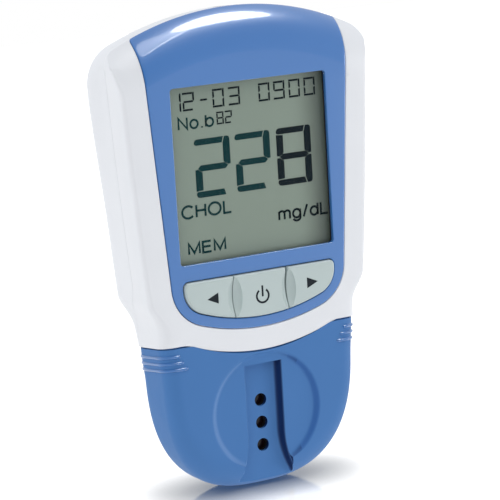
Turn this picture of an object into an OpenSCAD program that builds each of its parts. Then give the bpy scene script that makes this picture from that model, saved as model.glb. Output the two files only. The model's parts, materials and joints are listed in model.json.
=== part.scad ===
// Handheld lipid meter, lying on its back: +Y to its top end, +Z out of its face.
// The origin is under the middle of the whole meter, on the plane it lies on.

/* [Body] */
// Overall length
body_l = 139.6; // [137:0.2:148]
// Overall thickness, from the back to the tops of the buttons
body_t = 26; // [25.6:0.2:29]
// Width at the top corners, the widest place
top_w = 79.4; // [77.6:0.2:84]
// Width just above the shoulders
waist_w = 71; // [69.6:0.2:74]
// Width of the neck and of the sensor cap
neck_w = 62; // [60:0.5:66]
// Length of the S-curve from the waist to the neck
shoulder_l = 11.5; // [9:0.5:14]
// Radius of the arched top end
top_r = 88; // [78:1:100]
// Radius of the top corners in plan, at the front
corner_r = 5; // [4:0.5:7]
// Radius of the top corners in plan, at the back
corner_back_r = 10.5; // [8:0.5:12]
// How far the top corners stand out at the front
corner_out = 1; // [0:0.1:1.4]
// Wall of the two housings
wall = 2.2; // [1.8:0.1:2.6]
// Radius of the long edges at the back
back_r = 6.5; // [5.5:0.5:8]
// Radius of the back edge round the neck and the sensor cap
neck_back_r = 7; // [6:0.5:8]
// How far the back of the cap and the neck lies above the back of the body
neck_lift = 4.6; // [4:0.2:5.2]
// Radius of the bezel's outer edge
bezel_r = 1.3; // [0.9:0.1:2.4]
// Radius of the front edge at the neck and round the cap
neck_r = 4.5; // [4:0.5:6]
// Height lost from the faceplate to the bezel's outer edge
bezel_drop = 0.4; // [0.3:0.1:1.2]
// Height of the parting line between the housings
parting_z = 15.7; // [15:0.1:16.2]
// Height of the parting line at the neck
neck_parting_z = 9.6; // [9:0.1:10.4]

/* [Faceplate] */
// Width of the faceplate level with the display's middle
face_w = 60.7; // [59:0.1:62]
// How much wider the faceplate gets in each millimetre of height
face_taper = 0.1366; // [0.12:0.002:0.15]
// Thickness of the faceplate
face_t = 2; // [1.6:0.1:2.4]
// Radius of the roll over the top end
roll_r = 14.85; // [14.2:0.1:17]
// How far the roll reaches back from the top end
roll_w = 12.65; // [11.8:0.05:13.1]
// Radius of the faceplate's lower edge
chin_r = 61.6; // [56:0.2:70]
// Radius of the faceplate's lower corners
chin_corner_r = 12.5; // [11:0.5:14]
// Gap between the faceplate and the bezel
face_gap = 0.15; // [0.1:0.05:0.25]

/* [Display] */
// Side of the square display opening
display_w = 50; // [47:0.5:51]
// From the top end to the middle of the display
display_from_top = 45.6; // [45:0.2:47.4]
// Thickness of the lens
lens_t = 1.8; // [1.6:0.1:2]
// Thickness of the LCD panel
lcd_t = 2; // [1.6:0.1:2.4]

/* [Buttons] */
// Width across the three buttons
keys_w = 49; // [47:0.5:50]
// Height of the three buttons at the middle
keys_h = 12.8; // [12:0.1:13.6]
// From the display opening to the buttons
keys_gap = 4.9; // [4.5:0.1:5.4]
// Width of the power button
power_w = 17.6; // [16:0.2:20]
// How far the buttons stand above the faceplate
key_proud = 0.8; // [0.6:0.1:1]
// How far a button goes down
key_travel = 0.7; // [0.4:0.1:0.8]
// Running gap round each button
key_gap = 0.25; // [0.2:0.05:0.35]

/* [Sensor cap] */
// From the middle of the display to the cap's joint line
joint_from_display = 52.6; // [51.8:0.1:54]
// Radius of the joint line
joint_r = 70; // [64:1:78]
// Wall of the cap
cap_wall = 2; // [1.6:0.1:2.4]
// How far the cap's face lies under the faceplate
cap_sunk = 0.4; // [0.3:0.1:0.6]
// Length of the cap's rounded end
cap_end_l = 40; // [36:0.5:41]
// Radius of the cap's front edge at its end
cap_end_r = 9.5; // [8:0.5:11]
// How far the cap slides to come off
cap_travel = 46; // [40:1:60]
// Radius of the round dish at its floor
dish_r = 15.6; // [15:0.1:16.4]
// Depth of the dish
dish_d = 1.1; // [0.8:0.1:1.3]
// From the bottom end to the middle of the dish
dish_from_end = 23; // [22.4:0.1:24.2]
// Width of the test-device channel at its floor
channel_w = 9.8; // [9:0.1:10.6]
// Depth of the channel under the dish's floor
channel_d = 2; // [1.6:0.1:2.2]
// Diameter of the three light holes
light_hole_d = 3.8; // [3.2:0.1:4.2]
// Distance between the light holes
light_pitch = 6.7; // [6.2:0.1:7.2]
// Distance between the grip ribs
rib_pitch = 1.9; // [1.7:0.05:2.2]

/* [Batteries] */
// Diameter of a cell
cell_d = 10.5; // [10:0.1:10.5]
// Length of a cell over its nub
cell_l = 44.5; // [43:0.1:44.6]
// Thickness of the battery door
door_t = 1.9; // [1.6:0.1:2]
// Angle that the battery door opens to
door_open = 90; // [60:5:100]

/* [Small parts] */
// Thickness of the circuit boards
board_t = 1.6; // [1:0.1:1.8]
// Outer diameter of the screw bosses
boss_d = 5.4; // [5:0.1:5.8]
// Diameter of the screws' shanks
screw_d = 2.2; // [2:0.1:2.4]
// Width of the code chip
chip_w = 12; // [10:0.5:14]
// Thickness of the code chip
chip_t = 3.6; // [3:0.1:4]
// How far the code chip slides out
chip_travel = 13; // [11:0.5:16]

/* [Hidden] */
$fn = 48;
eps = 0.01;

// Clearances
seat = 0.05;        // between faces of one assembly that lie on each other
slip = 0.3;         // round the nose inside the cap
cell_gap = 0.3;     // beside a cell
screw_gap = 0.05;   // round a screw in its boss
joint_gap = 0.15;   // between the cap's rim and the white housing
door_gap = 0.15;    // round the battery door

// Levels up from the back
face_z = body_t - key_proud;
shelf_z = face_z - face_t - seat;
shelf_t = 1.6;
ceiling_z = shelf_z - shelf_t;
cap_z = face_z - cap_sunk;
dish_z = cap_z - dish_d;
channel_z = dish_z - channel_d;
channel_floor_t = 1.5;
nose_z = channel_z - channel_floor_t - slip;
bezel_step = 0.2;
bay_floor_z = door_t + 0.2;
bay_roof_z = bay_floor_z + cell_d + cell_gap;
bay_roof_t = 1.4;
board_gap = 1.5;
board_z = bay_roof_z + bay_roof_t + board_gap;
board_top = board_z + board_t;
lens_sunk = 0.2;
lens_top = face_z - lens_sunk;
lens_z = lens_top - lens_t;
gasket_t = 0.4;
lcd_top = lens_z - gasket_t - seat;
lcd_z = lcd_top - lcd_t;
dome_h = 1.5;
dome_top = board_top + seat + dome_h;

// Stations along the length
top_y = body_l / 2;
end_y = -body_l / 2;
disp_y = top_y - display_from_top;
arc_y = top_y - top_r;
waist_y = disp_y - 33.5;
neck_y = waist_y - shoulder_l;
joint_y = disp_y - joint_from_display;
dish_y = end_y + dish_from_end;
hole_y = dish_y - 4.05;
keys_top = disp_y - display_w / 2 - keys_gap;
keys_end = keys_top - keys_h;
chin_y = keys_end - 3.2;
roll_start_r = top_r - roll_w;
side_bow = 0.3;
side_slope = (top_w - waist_w) / 2 / (disp_y + 27 - waist_y);
joint_slant = 0.11;
rib_slant = 0.125;
joint_rise = 4.9;

// Smooth step from 0 to 1, a mix of two values, and a half outline with its mirror image
function ease(t) = let (u = min(1, max(0, t))) u * u * (3 - 2 * u);
function mix(a, b, t) = a + (b - a) * t;
function mirrored(half) = concat(half, [for (i = [len(half) - 2:-1:1]) [-half[i][0], half[i][1]]]);
function paired(half) = concat(half, [for (p = reversed(half)) [-p[0], p[1]]]);
function reversed(list) = [for (i = [len(list) - 1:-1:0]) list[i]];

// How far the rolled surface has fallen at a radius from the top arc's centre
function roll_drop(r) =
    let (out = min(max(0, r - roll_start_r), roll_r * 0.999))
    roll_r - sqrt(roll_r * roll_r - out * out);
function face_at(x, y) = face_z - roll_drop(norm([x, y - arc_y]));

// Joint line between the white housing and the cap, which ends level at the sides
function joint_at(x) =
    let (flat_y = joint_y + joint_rise, soft = 0.25,
        arc = joint_y + joint_r - sqrt(joint_r * joint_r - x * x))
    (arc + flat_y - norm([arc - flat_y, soft])) / 2;
crest_x = sqrt(joint_r * joint_r - pow(joint_r - joint_rise, 2));
joint_t = [for (f = [0.06, 0.26, 0.46, 0.66, 0.83, 0.95, 1.04]) 2 * f * crest_x / neck_w];

// Half width of the white housing, below its top corners, and how far its back is lifted
function bow_t(y) = (y - waist_y) / (disp_y + 30 - waist_y);
function lift_at(y) = neck_lift * (1 - ease((y - neck_y) / (waist_y - neck_y)));
function back_edge_r(y) = mix(neck_back_r, back_r, ease((y - neck_y) / (waist_y - neck_y)));
function side_x(y) = y > waist_y
    ? waist_w / 2 + side_slope * (y - waist_y)
        + 4 * side_bow * max(0, bow_t(y) * (1 - bow_t(y)))
    : mix(neck_w, waist_w, ease((y - neck_y) / (waist_y - neck_y))) / 2;

// The top end leans in towards the back
top_lean = 0.08;
face_tip_z = face_z - 7.1;
function lean_at(z) = top_lean * max(0, face_tip_z - z);

// Centre of a corner, an inset s inside a straight side and an arc round [0, arc_y]
function corner_at(s, half_w, at_y, slope, rho) =
    let (q = 1 + slope * slope, a = half_w - s * sqrt(q) + slope * (arc_y - at_y),
        v = (sqrt(a * a * slope * slope - q * (a * a - rho * rho)) - a * slope) / q)
    [a + slope * v, v + arc_y];

// The top corners get rounder towards the back, and stand out at the front
function corner_r_at(z) = mix(corner_back_r, corner_r, min(1, max(0, z - 2) / (face_tip_z - 2)));
function corner_out_at(z) = corner_out * ease((z - parting_z) / (face_tip_z - parting_z));

// Half outline of the white housing at height z, inset by d and set back from the joint
n_neck = 8;
n_side = 7;
n_corner = 5;
n_top = 7;
function housing_half(d, z, back = 0) =
    let (r = max(0.8, corner_r_at(z) - d), rim = top_r - lean_at(z), more = corner_out_at(z),
        c = corner_at(d + r, waist_w / 2 + more, waist_y, side_slope, rim - d - r),
        a0 = -atan(side_slope), a1 = atan2(c[1] - arc_y, c[0]),
        x0 = neck_w / 2 - d, y0 = joint_at(neck_w / 2) + back, y1 = c[1] + r * sin(a0))
    concat(
        [for (t = joint_t) [x0 * t, joint_at(neck_w / 2 * t) + back]],
        [for (i = [0:n_neck - 1]) let (y = mix(y0, waist_y, i / n_neck)) [side_x(y) - d, y]],
        [for (i = [0:n_side - 1]) let (y = mix(waist_y, y1, i / n_side))
            [side_x(y) - d + more * ease((y - y1) / 9 + 1), y]],
        [for (i = [0:n_corner - 1]) let (a = mix(a0, a1, i / n_corner)) c + r * [cos(a), sin(a)]],
        [for (i = [0:n_top - 1]) let (a = mix(a1, 90, i / (n_top - 0.6)))
            [(rim - d) * cos(a), arc_y + (rim - d) * sin(a)]]
    );
function housing_outline(d, z, back = 0) = paired(housing_half(d, z, back));

// Half outline of the cap, or of the nose in it, inset by d and by more at its end
n_cap_side = 2;
n_cap_end = 14;
end_power = 2 / 2.7;
function cap_half(d, more, reach) =
    let (x0 = neck_w / 2 - d, y0 = end_y + cap_end_l, y1 = joint_at(neck_w / 2) + reach)
    concat(
        [for (i = [n_cap_end:-1:0]) let (a = 90 * i / n_cap_end, e = more * pow(sin(a), 2))
            [(x0 - e) * pow(cos(a), end_power), y0 - (cap_end_l - d - e) * pow(sin(a), end_power)]],
        [for (i = [1:n_cap_side]) [x0, mix(y0, y1, i / n_cap_side)]],
        [for (t = reversed(joint_t)) [x0 * t, joint_at(neck_w / 2 * t) + reach]]
    );
function cap_ring(d, more, reach, z, fall) =
    let (half = cap_half(d, more, reach), n = len(half),
        level = [for (i = [0:n - 1]) i > n_cap_end ? z : z - fall * pow(sin(90 - 90 * i / n_cap_end), 2)])
    concat(
        [for (i = [0:n - 1]) [half[i][0], half[i][1], level[i]]],
        [for (i = [n - 1:-1:1]) [-half[i][0], half[i][1], level[i]]]
    );

// Closed solid through rings of points, each anticlockwise from above, from the lowest up. The
// ends of a ring that narrows in its middle are made of strips from side to side.
module loft(rings, strips = false) {
    n = len(rings[0]);
    last = len(rings) - 1;
    points = [for (ring = rings) each ring];
    sides = [for (k = [0:last - 1]) for (i = [0:n - 1])
        let (a = k * n + i, b = k * n + (i + 1) % n)
        each [[a, a + n, b], [b, a + n, b + n]]];
    cover = strips
        ? [for (i = [0:n / 2 - 2]) [i, i + 1, n - 2 - i, n - 1 - i]]
        : [[for (i = [0:n - 1]) i]];
    top = [for (f = cover) [for (i = reversed(f)) last * n + i]];
    polyhedron(points, concat(sides, cover, top), convexity = 8);
}
function at_z(outline, z) = [for (p = outline) [p[0], p[1], z]];

// The joint line leans towards the cap's end at the back
function leaned(ring) = [for (p = ring)
    let (near = 1 - ease((abs(p[1] - joint_y - joint_rise / 2) - joint_rise / 2 - 0.4) / 10))
    [p[0], p[1] - joint_slant * (face_z - p[2]) * near, p[2]]];

// Everything under the face, or under a surface some way below it, with the roll at the top
module under_face(under, low = 0) {
    big = roll_r - under;
    reach = 0.995 * big;
    translate([0, arc_y, 0])
        rotate_extrude($fn = 360)
            polygon(concat(
                [[0, low], [roll_start_r + reach, low]],
                [for (i = [0:12]) let (a = mix(acos(reach / big), 90, i / 12))
                    [roll_start_r + big * cos(a), face_z - roll_r + big * sin(a)]],
                [[0, face_z - under]]));
}

// Half outline of the faceplate, widened by grow
face_slope = face_taper / 2;
tip_r = 3.5;
function face_half(grow) =
    let (q = 1 + face_slope * face_slope, yc = chin_y + chin_r, rho = chin_r - chin_corner_r,
        a = face_w / 2 - chin_corner_r * sqrt(q) + face_slope * (yc - disp_y),
        v = (-a * face_slope - sqrt(a * a * face_slope * face_slope - q * (a * a - rho * rho))) / q,
        c = [a + face_slope * v, v + yc], a1 = atan2(v, c[0]), a2 = -atan(face_slope),
        top = top_r + 1, t = corner_at(tip_r, face_w / 2, disp_y, face_slope, top - tip_r),
        a3 = atan2(t[1] - arc_y, t[0]))
    concat(
        [for (i = [0:5]) let (b = mix(-90, a1, i / 6)) [0, yc] + (chin_r + grow) * [cos(b), sin(b)]],
        [for (i = [0:7]) let (b = mix(a1, a2, i / 7))
            c + (chin_corner_r + grow) * [cos(b), sin(b)]],
        [for (i = [0:4]) let (b = mix(a2, a3, i / 4)) t + (tip_r + grow) * [cos(b), sin(b)]],
        [for (i = [1:6]) let (b = mix(a3, 90, i / 6))
            [0, arc_y] + (top + grow) * [cos(b), sin(b)]]
    );
module face_prism(grow, low) {
    translate([0, 0, low])
        linear_extrude(body_t + 4 - low)
            polygon(mirrored(face_half(grow)));
}

// Square with round corners about the middle of the display
module display_square(side, low, high, r = 1) {
    a = side / 2 - r;
    translate([0, disp_y, low])
        linear_extrude(high - low)
            polygon([for (q = [[1, 1, 0], [-1, 1, 90], [-1, -1, 180], [1, -1, 270]]) for (i = [0:3])
                [q[0] * a + r * cos(q[2] + 30 * i), q[1] * a + r * sin(q[2] + 30 * i)]]);
}

// Box from its middle in x and y and its two heights
module slab(x, y, w, l, low, high) {
    translate([x - w / 2, y - l / 2, low]) cube([w, l, high - low]);
}

// Outline of the buttons, clockwise from above and inset by d
keys_r = 56;
keys_corner_r = 7.5;
keys_tip_r = 1.5;
keys_arc_y = keys_end + keys_r;
keys_corner_x = keys_w / 2 - keys_corner_r;
keys_corner_v = sqrt(pow(keys_r - keys_corner_r, 2) - pow(keys_corner_x, 2));
keys_corner_a = -atan2(keys_corner_v, keys_corner_x);
function keys_bottom(x, d) = keys_arc_y - sqrt(pow(keys_r - d, 2) - x * x);
function keys_right(d, inner) =
    let (tip = max(0.3, keys_tip_r - d), x1 = keys_w / 2 - d - tip,
        x2 = (keys_r - d) * cos(keys_corner_a))
    concat(
        [[inner, keys_top - d]],
        [for (i = [0:3]) [x1 + tip * sin(30 * i), keys_top - d - tip + tip * cos(30 * i)]],
        [for (i = [0:5]) let (a = keys_corner_a * i / 5)
            [keys_corner_x + (keys_corner_r - d) * cos(a),
                keys_arc_y - keys_corner_v + (keys_corner_r - d) * sin(a)]],
        [for (i = [1:5]) let (x = mix(x2, inner, i / 5)) [x, keys_bottom(x, d)]]
    );
function keys_all(grow) = mirrored(keys_right(-grow, 0));
function key_outline(side, d) =
    let (x0 = power_w / 2 - key_gap / 2 - d)
    side == 0
        ? concat([[-x0, keys_top - d], [x0, keys_top - d]],
            [for (i = [0:6]) let (x = mix(x0, -x0, i / 6)) [x, keys_bottom(x, d)]])
        : [for (p = keys_right(d, power_w / 2 + key_gap / 2 + d)) [side * p[0], p[1]]];

// One button: a pillow top with a round edge, a lip under the shelf and a stem to its dome
key_edge = 0.75;
lip_w = 1.2;
lip_t = 1.1;
lip_z = ceiling_z - seat - lip_t;
stem_d = 4;
dome_y = keys_top - 6.6;
key_x = (keys_w + power_w) / 4;
module key(side) color("#c5d0cc") {
    rings = concat([at_z(key_outline(side, 0), lip_z)],
        [for (i = [0:4]) let (a = 90 * i / 4)
            at_z(key_outline(side, key_edge * (1 - cos(a))), body_t - key_edge * (1 - sin(a)))]);
    lip_x = side == 0 ? power_w - key_gap : keys_w;
    difference() {
        union() {
            loft(side < 0 ? rings : [for (r = rings) reversed(r)]);
            intersection() {
                translate([0, 0, lip_z])
                    linear_extrude(lip_t)
                        polygon(keys_all(key_gap + lip_w));
                slab(side * (power_w + key_gap + lip_x) / 2, keys_end, lip_x, 2 * keys_h + 20, 0, body_t);
            }
            translate([side * key_x, dome_y, dome_top + seat])
                cylinder(d = stem_d, h = lip_z - dome_top);
        }
        for (s = [-1, 1]) scoop(s);
    }
}

// Pointed hollow between two buttons
scoop_l = 12;
scoop_w = 4.7;
scoop_d = 1.7;
module scoop(side) {
    lift = (scoop_w * scoop_w / 4 - scoop_d * scoop_d) / (2 * scoop_d);
    fat = scoop_d + lift;
    big = (scoop_l * scoop_l / 4 + scoop_d * scoop_d) / (2 * scoop_d);
    half = acos((big - fat) / big);
    translate([side * power_w / 2, keys_top - keys_h / 2 + 0.2, body_t + lift])
        rotate([90, 0, 0])
            rotate_extrude($fn = 60)
                polygon([for (i = [0:14]) let (a = mix(-half, half, i / 14))
                    [i == 0 || i == 14 ? 0 : big * cos(a) - big + fat, big * sin(a)]]);
}

module return_dome(side) color("#d8d8d2") {
    translate([side * key_x, dome_y, board_top + seat])
        cylinder(d1 = 7, d2 = 4.4, h = dome_h);
}

// Outer form of the white housing over its front edge and bezel
function edge_r(y) = mix(neck_r, bezel_r, ease((y - disp_y + 47) / 14));
function bezel_fall(s) = bezel_step + bezel_drop * max(0, 1 - s / 7.5);
function calm(p) = 1 - 0.85 * min(1, (face_z - face_at(p[0], p[1])) / 4);
housing_insets = [for (k = [0:8]) housing_outline(k, face_z)];
function housing_inset(i, s, insets) =
    let (k = floor(s)) mix(insets[k][i], insets[k + 1][i], s - k);
function front_ring(a) = [for (i = [0:len(housing_insets[0]) - 1])
    let (soft = calm(housing_insets[0][i]), r = edge_r(housing_insets[0][i][1]) * soft,
        s = r * (1 - cos(a)), p = housing_inset(i, s, housing_insets))
    [p[0], p[1], face_at(p[0], p[1]) - bezel_fall(s) * soft - r * (1 - sin(a))]];
function top_ring(s) = [for (p = housing_outline(s, face_z, s - neck_r))
    [p[0], p[1], face_at(p[0], p[1]) - bezel_fall(s) * calm(p)]];
module front_form(low) {
    loft([for (ring = concat(
        [for (z = [low:0.8:low + 4.8]) level_ring(z)],
        [level_ring(parting_z)],
        [for (a = [0, 22.5, 45, 67.5, 90]) front_ring(a)],
        [for (s = [7.5, 10, 12.5, 20]) top_ring(s)])) leaned(ring)], true);
}

// Level section of the white housing, which is rounded towards its back
function level_ring(z) = let (insets = [for (k = [0:8]) housing_outline(k, z)])
    [for (i = [0:len(insets[0]) - 1])
        let (y = insets[0][i][1], r = back_edge_r(y), h = max(0, lift_at(y) + r - z),
            p = housing_inset(i, r - sqrt(r * r - h * h), insets))
        [p[0], p[1], z]];

// Outer form of the white housing over its back edge, or of the hollow in it
function back_ring(a, d, back) =
    let (insets = [for (k = [0:8]) housing_outline(d + k, d + 0.6 * back_r * (1 - cos(a)), back)])
    [for (i = [0:len(insets[0]) - 1])
        let (y = insets[0][i][1], r = back_edge_r(y) - d, p = housing_inset(i, r * (1 - sin(a)), insets))
        [p[0], p[1], lift_at(y) + d + r * (1 - cos(a))]];
module back_form(high, d, back) {
    loft([for (ring = concat(
        [for (i = [0:5]) back_ring(18 * i, d, back)],
        [at_z(housing_outline(d, high, back), high)])) leaned(ring)], true);
}

// Everything above the parting line between the housings
module above_parting() {
    translate([-top_w, 0, 0])
        rotate([90, 0, 90])
            linear_extrude(2 * top_w)
                polygon(concat(
                    [[end_y - 20, body_t + 4], [end_y - 20, neck_parting_z]],
                    [for (i = [0:8])
                        [mix(disp_y - 45, disp_y - 30, i / 8), mix(neck_parting_z, parting_z, ease(i / 8))]],
                    [[top_y + 20, parting_z], [top_y + 20, body_t + 4]]));
}

// Rounded solid of the cap, or of the nose that it slides over, inset by d
module cap_form(low, high, d, reach, front_r, end_r, rear_r) {
    more = end_r - front_r;
    loft([for (ring = concat(
        [for (i = [0:5]) let (a = 18 * i)
            cap_ring(d + rear_r * (1 - sin(a)), 0, reach, low + rear_r * (1 - cos(a)), 0)],
        [for (i = [0:5]) let (a = 18 * i)
            cap_ring(d + front_r * (1 - cos(a)), more * (1 - cos(a)), reach,
                high - front_r * (1 - sin(a)), more * (1 - sin(a)))])) leaned(ring)]);
}
nose_in = cap_wall + slip;
nose_wall = 1.6;
nose_front_r = 3;
nose_low = neck_lift + nose_in;
nose_reach = wall + 1.8;
module nose_form(d, reach) {
    cap_form(nose_low + d, nose_z - d, nose_in + d, reach, nose_front_r - d, 6 - d,
        neck_back_r - nose_in - d);
}

// Places of the screw bosses and board posts
boss_x = keys_w / 2 + key_gap + lip_w + boss_d / 2 + 0.05;
housing_bosses = [for (s = [-1, 1]) each [[s * 31.5, disp_y + 24], [s * boss_x, disp_y - 35]]];
board_posts = [for (s = [-1, 1]) each [[s * 26, disp_y + 33], [s * 21.5, disp_y - 43.8]]];
boss_low = 5;
screw_head_d = 4.2;
screw_head_t = 1.6;
screw_z = 1;
screw_top = 14;
post_d = 4.6;
post_screw_top = board_top + 3;

module front_housing() color("#e6e9ee") {
    difference() {
        union() {
            intersection() {
                union() {
                    difference() {
                        front_form(neck_parting_z - 0.5);
                        intersection() {
                            translate([0, 0, 1])
                                linear_extrude(body_t)
                                    polygon(housing_outline(wall, parting_z, wall));
                            under_face(face_z - ceiling_z);
                        }
                    }
                    nose_form(0, wall / 2);
                }
                above_parting();
            }
            for (p = housing_bosses)
                translate([p[0], p[1], boss_low])
                    cylinder(d = boss_d, h = ceiling_z - boss_low + shelf_t / 2);
            for (p = board_posts)
                translate([p[0], p[1], board_top])
                    cylinder(d = post_d, h = ceiling_z - board_top + shelf_t / 2);
        }
        difference() {
            face_prism(face_gap, face_tip_z - seat);
            under_face(face_t + seat);
        }
        nose_form(nose_wall, nose_reach);
        slab(0, top_y, usb_w + 0.5, 20, usb_z - 0.25, board_z + 0.2);
        display_square(lcd_w + 0.6, ceiling_z - 1, body_t);
        translate([0, 0, ceiling_z - 1])
            linear_extrude(body_t)
                polygon(keys_all(key_gap));
        slab(0, hole_y, block_w + 2 * seat, block_l + 2 * seat, nose_z - nose_wall - 1, body_t);
        for (p = housing_bosses)
            translate([p[0], p[1], 0]) cylinder(d = screw_d + 2 * screw_gap, h = screw_top + 0.5);
        for (p = board_posts)
            translate([p[0], p[1], 0]) cylinder(d = screw_d + 2 * screw_gap, h = post_screw_top + 0.5);
    }
}

// Battery bay
cell_pitch = cell_d + cell_gap;
contact_room = 2.2;
bay_w = 4 * cell_pitch + cell_gap;
bay_l = cell_l + 2 * contact_room;
bay_y = disp_y - 1;
bay_end = bay_y - bay_l / 2;
bay_top = bay_y + bay_l / 2;
bay_wall = 1.4;
door_lap = 1.2;
door_w = bay_w + 2 * door_lap;
door_l = bay_l + 2 * door_lap;
hinge_y = bay_y + door_l / 2;
tab_x = 10.8;
tab_w = 5;
tab_t = 1.2;
tab_l = 2.2;
tab_z = wall + 0.15;

module rear_housing() color("#e6e9ee") {
    difference() {
        union() {
            difference() {
                back_form(parting_z + 0.5, 0, 0);
                back_form(parting_z + 1, wall, wall);
                above_parting();
            }
            difference() {
                nose_form(0, wall / 2);
                above_parting();
            }
            slab(0, bay_y, bay_w + 2 * bay_wall, bay_l + 2 * bay_wall, wall / 2, bay_roof_z + bay_roof_t);
            slab(0, bay_y - door_l / 2 - latch_l, latch_w + 4, 2 * latch_l + 2, wall / 2, latch_top);
            for (p = housing_bosses)
                translate([p[0], p[1], wall / 2])
                    cylinder(d = boss_d + 1, h = boss_low - seat - wall / 2);
        }
        difference() {
            nose_form(nose_wall, nose_reach);
            for (s = [-1, 1])
                slab(s * optic_pad_x, hole_y, 2, base_l - 4, 0, optic_board_z - seat);
        }
        slab(0, bay_y, bay_w, bay_l, -1, bay_roof_z);
        slab(0, bay_y, door_w + 2 * door_gap, door_l + 2 * door_gap, -1, door_t + seat);
        for (s = [-1, 1])
            slab(s * tab_x, hinge_y, tab_w + 0.6, 2 * (tab_l + 0.35), door_t, tab_z + tab_t + 1);
        slab(0, bay_y - door_l / 2, latch_w + 2 * door_gap, 2 * (latch_l + door_gap), -1, door_t + seat);
        for (p = housing_bosses) {
            translate([p[0], p[1], -1])
                cylinder(d = screw_head_d + 0.4, h = 1 + screw_z + screw_head_t);
            translate([p[0], p[1], 0])
                cylinder(d = screw_d + 0.4, h = boss_low);
        }
        slab(side_x(chip_y), chip_y, 2 * wall + 8, chip_w + 0.5, chip_z - 0.25, chip_z + chip_t + 0.25);
        slab(0, top_y, usb_w + 0.5, 20, usb_z - 0.25, parting_z + 1);
    }
}

module faceplate() color("#4d79b1") {
    difference() {
        intersection() {
            face_prism(0, face_tip_z);
            under_face(0);
        }
        under_face(face_t);
        display_square(display_w, 0, body_t + 1);
        display_square(flange_w + 2 * seat, 0, lens_z + flange_t + seat);
        translate([0, 0, 1])
            linear_extrude(body_t)
                polygon(keys_all(key_gap));
    }
}

// Display stack
flange_w = display_w + 4.6;
flange_t = 0.8;
lcd_w = display_w + 2.8;
module display_lens() color("#dfe6e4", 0.4) {
    display_square(display_w - 0.2, lens_z + flange_t - eps, lens_top);
    display_square(flange_w, lens_z, lens_z + flange_t);
}
module display_gasket() color("#26282b") {
    difference() {
        display_square(lcd_w, lcd_top + seat, lens_z - seat);
        display_square(display_w + 0.6, 0, body_t);
    }
}
module lcd_panel() color("#7a877e") {
    display_square(lcd_w, lcd_z + lcd_t / 2 - eps, lcd_top, 0.3);
    slab(0, disp_y, lcd_w, lcd_w, lcd_z, lcd_z + lcd_t / 2);
}
holder_w = lcd_w + 2.6;
strip_y = lcd_w / 2 - 2.4;
module lcd_holder() color("#f2f2ee") {
    difference() {
        slab(0, disp_y, holder_w, holder_w, board_top + seat, ceiling_z - seat);
        slab(0, disp_y, lcd_w + 2 * seat, lcd_w + 2 * seat, lcd_z - seat, body_t);
        slab(0, disp_y, lcd_w - 6, 2 * strip_y - 5, 0, body_t);
        for (s = [-1, 1])
            slab(0, disp_y + s * strip_y, lcd_w - 4, 2.4, 0, body_t);
    }
}
module connector_strips() color("#3a3a3c") {
    for (s = [-1, 1])
        slab(0, disp_y + s * strip_y, lcd_w - 4.4, 2.2, board_top + seat, lcd_z - seat);
}

// Main board and what is on it
board_w = 61;
neck_board_w = 50;
board_end = disp_y - 46;
board_head = disp_y + 38;
module main_board() color("#2f6b45") {
    half = [[0, board_end], [neck_board_w / 2 - 2, board_end], [neck_board_w / 2, board_end + 2],
        [neck_board_w / 2, waist_y + 2], [board_w / 2, waist_y + 6], [board_w / 2, disp_y + 32.5],
        [board_w / 2 - 3, disp_y + 35.5], [board_w / 2 - 9, board_head], [0, board_head]];
    difference() {
        translate([0, 0, board_z]) linear_extrude(board_t) polygon(mirrored(half));
        for (p = board_posts)
            translate([p[0], p[1], 0]) cylinder(d = screw_d + 0.3, h = body_t);
        for (p = housing_bosses)
            translate([p[0], p[1], 0]) cylinder(d = boss_d + 1, h = body_t);
    }
}
module microcontroller() color("#222326") {
    slab(0, disp_y - 6, 12, 12, board_z - 1.2 - seat, board_z - seat);
}
module board_parts() color("#6f6a5a") {
    for (x = [-12, -6, 6, 12]) slab(x, disp_y - 33, 3.2, 1.6, board_z - 1.2 - seat, board_z - seat);
    slab(-9, disp_y - 38, 8, 3.5, board_z - 2.4 - seat, board_z - seat);
    slab(9, disp_y - 38, 5, 5, board_z - 1.8 - seat, board_z - seat);
    for (x = [12, 17]) translate([x, disp_y + 31, board_z - 5 - seat]) cylinder(d = 4, h = 5);
}
buzzer_d = 12;
buzzer_x = -16.5;
module buzzer() color("#1c1c1e") {
    difference() {
        translate([buzzer_x, disp_y + 31.5, board_z - 3.2 - seat]) cylinder(d = buzzer_d, h = 3.2);
        translate([buzzer_x, disp_y + 31.5, board_z - 4]) cylinder(d = 2, h = 1.6);
    }
}
usb_w = 7.7;
usb_h = 3.9;
usb_z = board_z - seat - usb_h;
usb_y = top_y - lean_at(usb_z) - 1.6;
module usb_socket() color("#b9bcc0") {
    difference() {
        slab(0, usb_y - 4.6, usb_w, 9.2, usb_z, usb_z + usb_h);
        slab(0, usb_y - 2, usb_w - 0.8, 10, usb_z + 0.4, usb_z + usb_h - 0.4);
    }
    slab(0, usb_y - 4.2, usb_w - 3, 7, usb_z + 1.5, usb_z + 2.3);
}

// Sensor cap

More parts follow.
